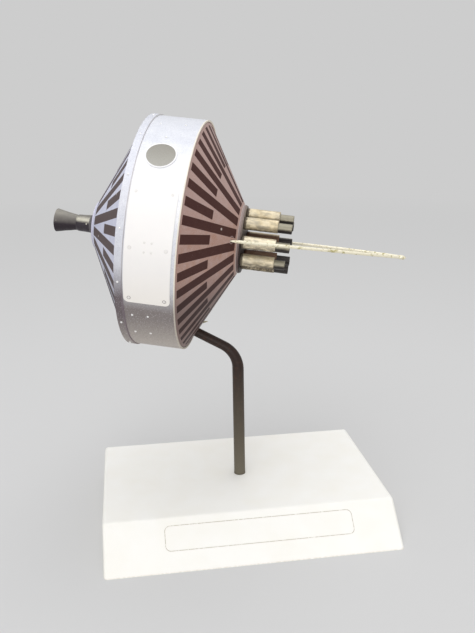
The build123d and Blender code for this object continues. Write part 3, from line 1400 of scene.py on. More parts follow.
@dataclass
class HeadRow:
    """Like small heads, each standing square on a drum.

    Args:
        head: The kind of head.
        spots: Their places as (station, radius, angle).
        radius: The radius of one head.
        height: How far it stands out.
        spread: How much the heads differ in size, as a share.
        seed: Picks their sizes and turns.
    """

    head: Head
    spots: list[tuple[float, float, float]]
    radius: float
    height: float
    spread: float = 0.12
    seed: int = 1

    def _head_mesh(self, graph: GeometryGraph, radius: Wire, height: Wire) -> Wire:
        """One head, its seat in the XY plane.

        Args:
            graph: The tree to add to.
            radius, height: The head's size.

        Returns:
            The head.
        """
        if self.head is Head.RIVET:
            ball = graph.wire("GeometryNodeMeshUVSphere", {"Segments": 16, "Rings": 8, "Radius": 1.0})
            size = graph.vector(radius, radius, height)
            return graph.wire("GeometryNodeTransform", {"Geometry": ball, "Scale": size})
        top_share, slot_length, slot_width, slot_lift = 0.86, 2.4, 0.3, 1.1
        rim = {"Vertices": 24, "Radius Top": radius * top_share, "Radius Bottom": radius, "Depth": height}
        disc = graph.wire("GeometryNodeMeshCone", rim)
        slot_size = graph.vector(radius * slot_length, radius * slot_width, height)
        slot = graph.wire("GeometryNodeMeshCube", {"Size": slot_size})
        lift = graph.vector(z=height * slot_lift)
        raised = graph.wire("GeometryNodeTransform", {"Geometry": slot, "Translation": lift})
        solids = {"Mesh 1": disc, "Mesh 2": raised}
        return graph.wire("GeometryNodeMeshBoolean", solids, operation="DIFFERENCE")

    def _tree(self) -> GeometryGraph:
        """The tree that stands heads on the corners of a mesh.

        Returns:
            The tree.
        """
        graph = GeometryGraph(self.head.value)
        radius, height = graph.size("Head Radius"), graph.size("Head Height")
        spread, seed = graph.size("Size Spread"), graph.size("Seed", "Int")
        _, back, up = graph.wire("GeometryNodeInputPosition").parts()
        outward = graph.vector(y=back, z=up)
        upright = graph.wire("FunctionNodeAlignRotationToVector", {"Vector": outward}, axis="Z")
        any_turn = graph.wire("FunctionNodeRandomValue", {"Max": math.pi, "Seed": seed})
        spin = graph.wire("FunctionNodeAxisAngleToRotation", {"Axis": (0.0, 0.0, 1.0), "Angle": any_turn})
        turns = {"Rotation": upright, "Rotate By": spin}
        turned = graph.wire("FunctionNodeRotateRotation", turns, rotation_space="LOCAL")
        limits = {"Min": 1.0 - spread, "Max": 1.0 + spread, "Seed": seed}
        inputs = {
            "Points": graph.source(),
            "Instance": self._head_mesh(graph, radius, height),
            "Rotation": turned,
            "Scale": graph.wire("FunctionNodeRandomValue", limits),
        }
        graph.close(graph.wire("GeometryNodeInstanceOnPoints", inputs), self.head is Head.RIVET)
        return graph

    def add(self, name: str, axes: ProbeAxes, finish: Finish, slot: str) -> None:
        """Make the row as one joined mesh and seat it.

        Args:
            name: The piece's name.
            axes: The probe's axes.
            finish: The heads' finish.
            slot: The record's material slot.
        """
        source = new_mesh(name, [axes.spot(*spot) for spot in self.spots])
        sizes = {
            "Head Radius": self.radius, "Head Height": self.height, "Size Spread": self.spread,
            "Seed": self.seed, "Material": finish.material()}
        piece = self._tree().grow(name, source, sizes)
        piece.data.transform(axes.place)
        seat(piece, slot)


# ---- sub-assemblies
@dataclass
class Plinth:
    """The folded card plinth with the printed outline of its name label.

    Args:
        white: The card's colour.
        label_shift: How far the label's middle is from the plinth's, along X.
    """

    white: Colour = ink(250, 249, 245)
    label_shift: float = 1.95 * MM

    def label(self) -> Label:
        """Place the label on the sloped front, whose lie is read from its largest face.

        Returns:
            The label.
        """
        low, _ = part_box("plinth_cover")
        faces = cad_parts["plinth_cover"].data.polygons
        least = 0.1  # of a normal that points both forwards and up
        sloped = [face for face in faces if face.normal.y < -least and face.normal.z > least]
        out = max(sloped, key=lambda face: face.area).normal.copy()
        foot = Vector((self.label_shift, low.y, low.z))
        return Label(foot, Vector((0, out.z, -out.y)), out)

    def dress(self) -> None:
        """Finish the cover and the card that closes it below."""
        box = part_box("plinth_cover")
        cover = WhiteCard(
            "plinth_card_cover", self.white, 0.62, relief=0.02 * MM, box=box, label=self.label())
        below = WhiteCard("plinth_card_below", ink(228, 222, 208), 0.7, relief=0.03 * MM, box=box)
        dress("plinth_cover", cover)
        dress("plinth_floor", below)


@dataclass(frozen=True)
class Flap:
    """A torn flap of card that stands out round the rod's hole.

    Args:
        turn: Where it stands, in degrees from the small end's side of the hole to the front.
        width: How wide it is at its root.
        reach: How long it is.
        lean: How far it leans away from the rod, in degrees.
        twist: How far it twists from root to tip, in degrees.
    """

    turn: float
    width: float
    reach: float
    lean: float
    twist: float


@dataclass
class SupportRod:
    """The black rod that holds the probe, and the torn card round its hole in the cone.

    Args:
        axes: The probe's axes.
        rim: How far the hole's torn edge is from the rod's middle line.
        flap_card: How thick the torn card is.
        grid: How many faces a flap has each way.
        flaps: The flaps.
    """

    axes: ProbeAxes
    rim: float = 1.62 * MM
    flap_card: float = 0.14 * MM
    grid: int = 8
    flaps: list[Flap] = field(default_factory=lambda: [
        Flap(-8.0, 1.9 * MM, 4.3 * MM, 52.0, 75.0),
        Flap(52.0, 1.2 * MM, 1.2 * MM, 35.0, 20.0),
        Flap(118.0, 1.0 * MM, 1.0 * MM, 30.0, -30.0),
        Flap(160.0, 1.0 * MM, 2.4 * MM, 22.0, 40.0),
        Flap(-62.0, 1.4 * MM, 0.9 * MM, 45.0, 15.0),
        Flap(-130.0, 1.1 * MM, 0.7 * MM, 50.0, -20.0),
    ])

    def dress(self) -> None:
        """Finish the rod in worn satin black."""
        # The thin spots' red-brown is partly worn paint and partly a painted reflection along the arm; the
        # foot tone is painted light.
        dress("support_rod", RodPaint(
            "rod_satin_black", ink(50, 37, 32), 0.45, axes=self.axes, specular=0.25, relief=0.006 * MM,
            thin=ink(66, 46, 38), thin_share=0.5, foot=ink(106, 100, 86), fade=Span(11.0 * MM, 52.0 * MM)))

    def _hole(self) -> tuple[Vector, Vector, Vector]:
        """Find where the rod's arm passes the fore cone's skin.

        Returns:
            The hole's middle, the skin's outward direction there, and the direction along the
            skin to the cone's small end, all on the probe's axes.
        """
        points = self.axes.local_points("support_rod")
        deepest = min(point.x for point in points)
        cap = [point for point in points if point.x < deepest + self.rim]
        inner = (Vector(map(min, *cap)) + Vector(map(max, *cap))) / 2
        spoke = cap[0] - inner
        along = max((spoke.cross(point - inner) for point in cap), key=lambda cross: cross.length)
        skin = sorted(self.axes.local_points("fore_cone"), key=lambda point: point.x)
        near = 0.3 * MM
        low_side = [
            min((p for p in skin if abs(p.x - end.x) < near), key=lambda p: p.z)
            for end in (skin[0], skin[-1])]
        toward_end = (low_side[1] - low_side[0]).normalized()
        outward = Vector((0, -1, 0)).cross(toward_end).normalized()
        if outward.z > 0:
            outward.negate()
        reach = (low_side[0] - inner).dot(outward) / along.dot(outward)
        return inner + along * reach, outward, toward_end

    def _flap_mesh(self, flap: Flap, number: int, hole: tuple[Vector, Vector, Vector]) -> bpy.types.Mesh:
        """A flap as a thin sheet that tapers to a torn tip.

        Args:
            flap: Its sizes.
            number: Picks its tear.
            hole: The hole's middle and its two directions.

        Returns:
            The sheet, on the probe's axes.
        """
        middle, outward, toward_end = hole
        sideways = outward.cross(toward_end)
        turn, lean = math.radians(flap.turn), math.radians(flap.lean)
        radial = toward_end * math.cos(turn) + sideways * math.sin(turn)
        across_root = sideways * math.cos(turn) - toward_end * math.sin(turn)
        growth = radial * math.sin(lean) + outward * math.cos(lean)
        taper, rounding, torn_width, torn_reach = 0.4, 0.25, 0.4, 0.5
        corners = []
        for row in range(self.grid + 1):
            for column in range(self.grid + 1):
                along, across = row / self.grid, 2 * column / self.grid - 1
                tear = noise.noise(Vector((across * 1.6, along * 1.5, number * 7.3)))
                twist = math.radians(flap.twist) * along
                wide = across_root * math.cos(twist) + growth.cross(across_root) * math.sin(twist)
                half = flap.width / 2 * across * (1 - taper * along ** 2) * (1 + torn_width * tear)
                climb = flap.reach * along * (1 + torn_reach * tear) * (1 - rounding * across ** 2)
                corners.append(middle + radial * self.rim + growth * climb + wide * half)
        side = self.grid + 1
        faces = [
            (i * side + j, i * side + j + 1, (i + 1) * side + j + 1, (i + 1) * side + j)
            for i in range(self.grid) for j in range(self.grid)]
        return new_mesh("torn_flap", corners, faces)

    def add_torn_card(self) -> None:
        """Stand the torn flaps round the hole as one thin sheet of card, its corners in a fixed order."""
        hole = self._hole()
        joined = bmesh.new()
        for number, flap in enumerate(self.flaps):
            joined.from_mesh(self._flap_mesh(flap, number, hole))
        bmesh.ops.solidify(joined, geom=joined.faces[:], thickness=self.flap_card)
        bmesh.ops.recalc_face_normals(joined, faces=joined.faces[:])
        corners = sorted(joined.verts, key=lambda corner: corner.co[:])
        numbers = {corner: number for number, corner in enumerate(corners)}
        faces = sorted([numbers[corner] for corner in face.verts] for face in joined.faces)
        mesh = new_mesh("torn_card", [corner.co for corner in corners], faces)
        joined.free()
        torn = Finish("torn_card_olive", ink(206, 199, 166), 0.7, relief=0.03 * MM, grain=0.25 * MM)
        mount(mesh, self.axes, torn, "fore_cone_print")


@dataclass
class Drum:
    """The drum's printed bands, its panel and window, and their rivets and screws.

    Args:
        axes: The probe's axes.
        rivet_radius, rivet_height: The size of a rivet's head.
        rim_rivets: How many rivets go round the rim band.
        first_rivet: The angle of the first of them.
        screw_radius, screw_height: The size of a panel screw's head.
        drum_rivets: The places of the drum's own rivets, as (distance from its fore edge, angle),
            each with another at its mirrored angle.
        screw_inset: How far the panel's screws are from its fore and aft edges.
        screw_end_inset: How far they are from its upper and lower edges.
        screw_sag: How far the middle and lower screws lie below their even places.
        mark_gap: How far apart the four small marks amid the panel are.
        mark_stretch: How much further apart they are round the drum than along it.
        mark_radius, mark_height: The size of one of them.
    """

    axes: ProbeAxes
    rivet_radius: float = 0.35 * MM
    rivet_height: float = 0.32 * MM
    rim_rivets: int = 15
    first_rivet: float = 7.0
    drum_rivets: tuple[tuple[float, float], ...] = (
        (12.3 * MM, 19.0), (4.8 * MM, 18.0), (8.8 * MM, 31.1),
        (12.8 * MM, 121.2), (12.8 * MM, 134.6), (8.1 * MM, 121.2), (8.1 * MM, 134.6))
    screw_radius: float = 0.42 * MM
    screw_height: float = 0.1 * MM
    screw_inset: float = 1.6 * MM
    screw_end_inset: float = 2.048 * MM
    screw_sag: float = 0.45 * MM
    mark_gap: float = 2.1 * MM
    mark_stretch: float = 1.3
    mark_radius: float = 0.36 * MM
    mark_height: float = 0.06 * MM

    def __post_init__(self) -> None:
        """Read the bands' stations and radii from the frame."""
        self.band = self.axes.stations("drum_band")
        self.rim = self.axes.stations("aft_rim_band")
        self.radius = self.axes.radii("drum_band").high
        self.rim_radius = self.axes.radii("aft_rim_band").high

    def dress(self) -> None:
        """Finish the bands, the panel and the window."""
        # Both bands carry painted shade below, a painted highlight above and painted light at the very
        # bottom; the rim band's painted shade is darker and its highlight weaker.
        dress("drum_band", DrumPrint(
            "drum_silver_print", ink(224, 226, 232), 0.56, 0.3, axes=self.axes, relief=0.012 * MM,
            ends=self.band, cut_width=0.32 * MM, shade_station=self.rim.high + 0.1 * MM))
        dress("aft_rim_band", DrumPrint(
            "rim_silver_print", ink(218, 220, 228), 0.56, 0.3, axes=self.axes, relief=0.012 * MM,
            low=ink(112, 101, 104), painted_sheen=ink(228, 229, 236), bottom=ink(176, 168, 163),
            fade=Span(-13.5 * MM, -3.0 * MM), ends=self.rim, shade_station=self.rim.high))
        dress("access_panel", PanelPrint(
            "panel_white_print", ink(249, 247, 246), 0.42, axes=self.axes, relief=0.006 * MM,
            rings=tuple(self._screw_rings())))
        dress("window_ring", Finish("window_white_ring", ink(244, 244, 246), 0.42, relief=0.006 * MM))
        heights = [point.z for point in self.axes.local_points("window_disc")]
        dress("window_disc", WindowPrint(
            "window_olive_print", ink(148, 145, 137), 0.5, specular=0.3, axes=self.axes, relief=0.004 * MM,
            light=ink(176, 174, 167), rise=Span(min(heights), max(heights))))

    def add_rivets(self) -> None:
        """Rivets round the rim band and in small groups on the drum."""
        head = Finish("rivet_bright", ink(252, 252, 252), 0.3, coat=0.5)
        pitch = 360 / self.rim_rivets
        ring = [
            (self.rim.middle, self.rim_radius, self.first_rivet + pitch * i) for i in range(self.rim_rivets)]
        row = HeadRow(Head.RIVET, ring, self.rivet_radius, self.rivet_height)
        row.add("rim_rivets", self.axes, head, "rim_print")
        spots = [
            (self.band.high - back, self.radius, side * angle)
            for back, angle in self.drum_rivets for side in (1, -1)]
        row = HeadRow(Head.RIVET, spots, self.rivet_radius, self.rivet_height, seed=2)
        row.add("drum_rivets", self.axes, head, "drum_print")

    def _screw_spots(self) -> list[tuple[float, float, float]]:
        """The panel's six screws, in two rows along its straight edges.

        Returns:
            Their places as (station, radius, angle), from above down.
        """
        panel, turn = self.axes.stations("access_panel"), self.axes.angles("access_panel")
        radius = self.axes.radii("access_panel").high
        edge = math.degrees(self.screw_end_inset / radius)
        sag = math.degrees(self.screw_sag / radius)
        angles = (turn.low + edge, turn.middle + sag, turn.high - edge + sag)
        stations = (panel.low + self.screw_inset, panel.high - self.screw_inset)
        return [(station, radius, angle) for angle in angles for station in stations]

    def _screw_rings(self) -> list[Spot]:
        """A thin printed ring round each screw; painted light leaves the upper rings faint
        and the lower ones darkest.

        Returns:
            The rings.
        """
        # Painted light: the rings are printed alike, but the upper ones are made faint, as washed out by
        # light.
        grey, strengths = ink(96, 88, 86), (0.05, 0.05, 0.2, 0.2, 0.9, 0.9)
        return [
            Spot(self.axes.spot(*spot), radius=0.56 * MM, line=0.17 * MM, colour=grey, strength=strength)
            for spot, strength in zip(self._screw_spots(), strengths)]

    def add_screws(self) -> None:
        """Six screws along the panel's edges, and four small marks amid them."""
        panel, turn = self.axes.stations("access_panel"), self.axes.angles("access_panel")
        radius = self.axes.radii("access_panel").high
        pale = Finish("screw_pale_grey", ink(245, 243, 241), 0.4)
        row = HeadRow(
            Head.SCREW, self._screw_spots(), self.screw_radius, self.screw_height, spread=0.04, seed=3)
        row.add("panel_screws", self.axes, pale, "panel_white")
        half = self.mark_gap / 2
        turn_half = math.degrees(half / radius) * self.mark_stretch
        marks = [
            (panel.middle + side * half, radius, turn.middle + way * turn_half)
            for side in (-1, 1) for way in (-1, 1)]
        faint = Finish("mark_faint_grey", ink(242, 240, 238), 0.45)
        row = HeadRow(Head.RIVET, marks, self.mark_radius, self.mark_height, spread=0.04, seed=4)
        row.add("panel_marks", self.axes, faint, "panel_white")


@dataclass
class Cones:
    """The two striped cones with the ring, plate and disc at their small ends.

    Args:
        axes: The probe's axes.
        bar_count, bar_width: How many bars each cone has, and their width.
    """

    axes: ProbeAxes
    bar_count: int = 40
    bar_width: float = 2.85 * MM

    def _skin_spot(self, cone: str, radius: float, angle: float) -> Vector:
        """A point on a cone's skin.

        Args:
            cone: The cone's node.
            radius, angle: Where the point lies round the cone's own middle.

        Returns:
            The point, on the probe's axes.
        """
        base, end = self._ends(cone)
        share = (radius - base.z) / (end.z - base.z)
        middle = base.lerp(end, share)
        return self.axes.spot(middle.x, radius, angle) + Vector((0, 0, middle.y))

    def _ends(self, cone: str) -> tuple[Vector, Vector]:
        """A cone's wide and small ends.

        Args:
            cone: The cone's node.

        Returns:
            Each end as (station, rise of its middle, radius).
        """
        disc = "end_collar" if cone == "fore_cone" else "aft_end_disc"
        drum, span = self.axes.stations("drum_band"), self.axes.stations(cone)
        base, end = (drum.high, span.high) if cone == "fore_cone" else (drum.low, span.low)
        rise = self.axes.centre(disc).z
        rim = max(math.hypot(p.y, p.z - rise) for p in self.axes.local_points(disc))
        return Vector((base, 0.0, self.axes.radii(cone).high)), Vector((end, rise, rim))

    def _card(self, cone: str, bars: BarPattern, spots: Sequence[Spot], **colours: Colour) -> StripedCard:
        """A cone's striped finish.

        Args:
            cone: The cone's node.
            bars: The layout of its bars.
            spots: Small marks on it.
            colours: The finish's colours, by their names in it.

        Returns:
            The finish.
        """
        base, end = self._ends(cone)
        return StripedCard(
            cone + "_stripes", roughness=0.5, metallic=0.1, specular=0.2, relief=0.01 * MM, axes=self.axes,
            bars=bars, base_station=base.x, end_station=end.x, end_rise=end.y, spots=tuple(spots), **colours)

    def dress(self) -> None:
        """Finish both cones and their end pieces."""
        fore_bars = BarPattern(
            self.bar_count, self.bar_width, outer=35.3 * MM, long_inner=12.0 * MM, short_inner=23.3 * MM)
        aft_bars = BarPattern(
            self.bar_count, self.bar_width, outer=34.3 * MM, long_inner=10.0 * MM, short_inner=22.2 * MM)
        fleck, glue = ink(226, 214, 208), ink(176, 152, 152)
        fore_dot, aft_dot = 0.38 * MM, 0.35 * MM
        near_root = self._skin_spot("fore_cone", 13.7 * MM, 82.5) + Vector((0, 0, 0.35 * MM))
        fore_spots = [
            Spot(self._skin_spot("fore_cone", 18.9 * MM, 71.2), fore_dot, fore_dot, fleck, 0.7),
            Spot(near_root, radius=1.25 * MM, line=0.3 * MM, colour=glue, strength=0.6)]
        aft_spots = [
            Spot(self._skin_spot("aft_cone", radius, angle), aft_dot, aft_dot, fleck, 0.6)
            for radius, angle in ((16.2 * MM, 90.8), (30.6 * MM, 60.9))]
        # Painted light: the cones carry one print; the fore cone's colours are its darker, warmer copy in
        # shade, the aft cone's its brighter, bluer lit copy.
        dress("fore_cone", self._card(
            "fore_cone", fore_bars, fore_spots, colour=ink(186, 159, 154), tint=ink(176, 134, 116),
            bar_colour=ink(68, 36, 34), card=ink(200, 192, 188)))
        dress("aft_cone", self._card(
            "aft_cone", aft_bars, aft_spots, colour=ink(216, 218, 236), tint=ink(198, 201, 224),
            bar_colour=ink(88, 78, 80), card=ink(208, 206, 226)))
        dress("aft_end_disc", Finish("end_disc_lavender", ink(206, 204, 224), 0.5))
        # Painted highlight: the collar and the plate are lighter on their upper sides, as lit from above.
        dress("end_collar", BrushedPaint(
            "end_collar_grey", ink(96, 79, 80), 0.5, axes=self.axes, specular=0.3, relief=0.012 * MM,
            thin=ink(136, 118, 114), thin_share=0.45,
            painted_highlight=ink(150, 134, 130), painted_highlight_share=0.95, level=Span(-6.0 * MM, 9.0 * MM)))
        dress("end_plate", BrushedPaint(
            "end_plate_black", ink(46, 33, 32), 0.5, axes=self.axes, specular=0.3, relief=0.01 * MM,
            thin=ink(70, 54, 50), painted_highlight=ink(134, 121, 112), painted_highlight_share=0.9, level=Span(1.0 * MM, 6.5 * MM)))


@dataclass
class RetroMotor:
    """The small motor on the aft cone: a collar, a neck and a flared bell.

    Args:
        axes: The probe's axes.
        wall: The bell's wall.
        unevenness: How far hand-laid paint and rolled paper swell and dip.
        swell_size: How far apart the swells are.
        shoulder: How much slimmer the neck is at the bell's throat.
        curl: How the bell's flare quickens towards its mouth.
        around, steps: How many faces go round each piece, and how many along the bell.
    """

    axes: ProbeAxes
    wall: float = 0.35 * MM
    unevenness: float = 0.07 * MM
    swell_size: float = 1.6 * MM
    shoulder: float = 0.35 * MM
    curl: float = 1.12
    around: int = 96
    steps: int = 36

    def _swell(self, station: float, radius: float, turn: float) -> float:
        """Slow dips and swells of a hand-made tube."""
        spot = Vector((station, math.sin(turn) * radius, math.cos(turn) * radius)) / self.swell_size
        return self.unevenness * noise.noise(spot)

    def build(self) -> None:
        """Make the neck and the bell finer than the frame has them, and dress the collar."""
        neck, bell = self.axes.stations("motor_neck"), self.axes.stations("motor_bell")
        neck_radius, mouth = self.axes.radii("motor_neck").high, self.axes.radii("motor_bell").high
        throat = neck_radius - self.shoulder
        bright, big, small = ink(226, 222, 206), 0.22 * MM, 0.16 * MM
        flecks = (
            Spot(self.axes.spot(neck.high - 0.9 * MM, neck_radius, 83.0), big, big, bright, 0.9),
            Spot(self.axes.spot(bell.low + 0.7 * MM, mouth - 0.3 * MM, 81.0), small, small, bright, 0.7))
        # Painted highlight: a light band along the neck's upper side and a grey upper half on the bell.
        gloss = BrushedPaint(
            "motor_gloss_black", ink(52, 45, 52), 0.36, 0.2, axes=self.axes, relief=0.006 * MM,
            thin=ink(74, 68, 70), painted_highlight=ink(198, 194, 178), painted_highlight_share=0.95,
            level=Span(0.5 * MM, 1.4 * MM), crest=2.1 * MM, flecks=flecks)
        satin = BrushedPaint(
            "bell_satin_black", ink(42, 33, 41), 0.5, 0.3, axes=self.axes, relief=0.008 * MM,
            thin=ink(60, 50, 54), painted_highlight=ink(146, 142, 133), painted_highlight_share=0.92,
            level=Span(-0.5 * MM, 3.0 * MM), flecks=flecks)
        dress("motor_collar", Finish("collar_dark_grey", ink(92, 88, 90), 0.5))
        rise, dip, root = 0.5 * MM, 0.15 * MM, 0.3 * MM
        outline = stepped([
            (neck.low, 0), (neck.low, throat), (neck.low + rise, neck_radius - dip),
            (neck.high - root, neck_radius), (neck.high, neck_radius), (neck.high, 0)], step=0.25 * MM)
        mesh = lathe("motor_neck_fine", outline, self.around, self._swell)
        soften(mesh)
        mount(mesh, self.axes, gloss, "motor_black", ["motor_neck"])
        outer = [self._flare(i / self.steps, bell, throat, mouth) for i in range(self.steps + 1)]
        inner = [(station, radius - self.wall) for station, radius in reversed(outer)]
        outline = [(bell.high, 0), *outer, *inner, (bell.high - self.wall, 0)]
        mesh = lathe("motor_bell_fine", outline, self.around, self._swell)
        mesh.flip_normals()
        soften(mesh)
        mount(mesh, self.axes, satin, "motor_black", ["motor_bell"])

    def _flare(self, share: float, bell: Span, throat: float, mouth: float) -> tuple[float, float]:
        """The bell's outer skin at a share of the way from throat to mouth."""
        return bell.high - bell.length * share, throat + (mouth - throat) * share ** self.curl


@dataclass
class Tube:
    """Where a round node of the frame lies about its own axis along the probe.

    Args:
        node: The node.
        ends: The stations of its ends.
        axis: A point on its axis, on the probe's axes.
        radius: Its radius.
    """

    node: str
    ends: Span
    axis: Vector
    radius: float

    @classmethod
    def from_frame(cls, node: str, axes: ProbeAxes) -> "Tube":
        """Measure a node.

        Args:
            node: The node.
            axes: The probe's axes.

        Returns:
            The tube.
        """
        across = Vector((0, 1, 1))
        axis = axes.centre(node) * across
        radius = max((point * across - axis).length for point in axes.local_points(node))
        return cls(node, axes.stations(node), axis, radius)


@dataclass
class RocketRing:
    """The eight small rockets: foil-wrapped cases with dark nozzle tubes.

    Args:
        axes: The probe's axes.
        count: How many rockets there are.
        lip: How far a case's edges are rounded.
        crinkle: How deep the foil's creases are.
        crinkle_size: How far apart they are.
        bore: The nozzle tubes' inner radius, as a share of their outer radius.
        nozzle_wear: How uneven the nozzle tubes are.
    """

    axes: ProbeAxes
    count: int = 8
    lip: float = 0.2 * MM
    crinkle: float = 0.15 * MM
    crinkle_size: float = 1.3 * MM
    bore: float = 0.76
    nozzle_wear: float = 0.03 * MM

    def _crinkle_tree(self) -> GeometryGraph:
        """The tree that crinkles a smooth skin and moves it to its rocket's axis.

        Returns:
            The tree.
        """
        graph = GeometryGraph("crinkled_skin")
        depth, size = graph.size("Crinkle Depth"), graph.size("Crinkle Size")
        seed = graph.size("Seed", "Int")
        back, up = graph.size("Axis Back"), graph.size("Axis Up")
        place = graph.wire("GeometryNodeInputPosition")
        broad = graph.noise(place, size, detail=3.0, seed=seed)
        folds = graph.cells(place + broad * size, size * 0.8)
        outward = graph.wire("GeometryNodeInputNormal")
        push = (0.5 - broad + (0.45 - folds) * 0.5) * depth
        moves = {"Geometry": graph.source(), "Offset": outward * push}
        creased = graph.wire("GeometryNodeSetPosition", moves)
        shift = graph.vector(y=back, z=up)
        graph.close(graph.wire("GeometryNodeTransform", {"Geometry": creased, "Translation": shift}))
        return graph

    def _case_mesh(self, case: Tube) -> bpy.types.Mesh:
        """A smooth case about the X axis with rounded edges.

        Args:
            case: Its place and size.

        Returns:
            The skin.
        """
        low, high, radius, lip = case.ends.low, case.ends.high, case.radius, self.lip
        outline = stepped([
            (low, 0), (low, radius - lip), (low + lip, radius), (high - lip / 2, radius),
            (high, radius - lip / 2), (high, 0)], step=0.16 * MM)
        return lathe("case_smooth", outline, around=84)

    def _nozzle_mesh(self, nozzle: Tube) -> bpy.types.Mesh:
        """A smooth hollow tube about the X axis with its end turned over the wall.

        Args:
            nozzle: Its place and size.

        Returns:
            The skin.
        """
        low, high, radius = nozzle.ends.low, nozzle.ends.high, nozzle.radius
        bore = radius * self.bore
        turn = (radius - bore) / 3
        outline = stepped([
            (low, 0), (low, radius), (high - turn, radius), (high, radius - turn), (high, bore + turn),
            (high - turn, bore), (low + self.lip, bore), (low + self.lip, 0)], step=0.22 * MM)
        return lathe("nozzle_smooth", outline, around=64)

    def build(self) -> None:
        """Make each rocket's case and nozzle tube."""
        tree = self._crinkle_tree()
        numbers = range(1, self.count + 1)
        cases = [Tube.from_frame(f"rocket_case_{number}", self.axes) for number in numbers]
        nozzles = [Tube.from_frame(f"rocket_nozzle_{number}", self.axes) for number in numbers]
        foil, paint = self._finishes(cases, nozzles[0])
        for number, case, nozzle in zip(numbers, cases, nozzles):
            skin = self._piece(
                tree, f"foil_case_{number}", self._case_mesh(case), case.axis, self.crinkle, number, foil)
            pipe = self._piece(
                tree, f"nozzle_tube_{number}", self._nozzle_mesh(nozzle), nozzle.axis, self.nozzle_wear,
                number, paint)
            seat(skin, "case_foil", [case.node])
            seat(pipe, "nozzle_black", [nozzle.node])

    def _finishes(self, cases: list[Tube], nozzle: Tube) -> tuple[Finish, Finish]:
        """The pieces' finishes, which follow the ring.

        Args:
            cases: The cases.
            nozzle: The first nozzle tube.

        Returns:
            The cases' foil and the nozzle tubes' paint.
        """
        middle = centre_of([case.axis for case in cases])
        arm = cases[0].axis - middle
        ring = Ring(self.count, arm.length, middle.z, math.atan2(-arm.y, arm.z))
        foil = Foil(
            "case_foil_crinkled", ink(202, 190, 164), 0.48, 0.45, axes=self.axes, relief=0.04 * MM,
            ends=cases[0].ends, ring=ring, case_radius=cases[0].radius)
        drop = cases[0].axis.z - nozzle.axis.z
        low_ring = Ring(self.count, arm.length, middle.z - drop, ring.first)
        # Painted highlight: grey on the nozzle tubes' upper sides, left off the inner and lowest tubes, which
        # stand in shade.
        paint = BrushedPaint(
            "nozzle_graphite", ink(44, 38, 36), 0.4, 0.3, axes=self.axes, relief=0.01 * MM,
            thin=ink(74, 68, 60), thin_share=0.2, painted_highlight=ink(158, 152, 133), painted_highlight_share=0.92,
            level=Span(-0.55 * MM, 0.1 * MM), reach=-0.4 * MM, ring=low_ring)
        return foil, paint

    def _piece(
        self, tree: GeometryGraph, name: str, smooth: bpy.types.Mesh, axis: Vector, depth: float,
        seed: int, finish: Finish,
    ) -> bpy.types.Object:
        """Crinkle a smooth skin and stand it on its own axis.

        Args:
            tree: The tree that crinkles a skin.
            name: The piece's name.
            smooth: The skin, about the X axis.
            axis: A point on the piece's own axis.
            depth: How deep the creases are.
            seed: Picks the creases.
            finish: The piece's finish.

        Returns:
            The piece.
        """
        sizes = {
            "Axis Back": axis.y, "Axis Up": axis.z, "Seed": seed, "Crinkle Depth": depth,
            "Crinkle Size": self.crinkle_size, "Material": finish.material()}
        piece = tree.grow(name, smooth, sizes)
        soften(piece.data, fold=50.0)
        piece.data.transform(self.axes.place)
        return piece


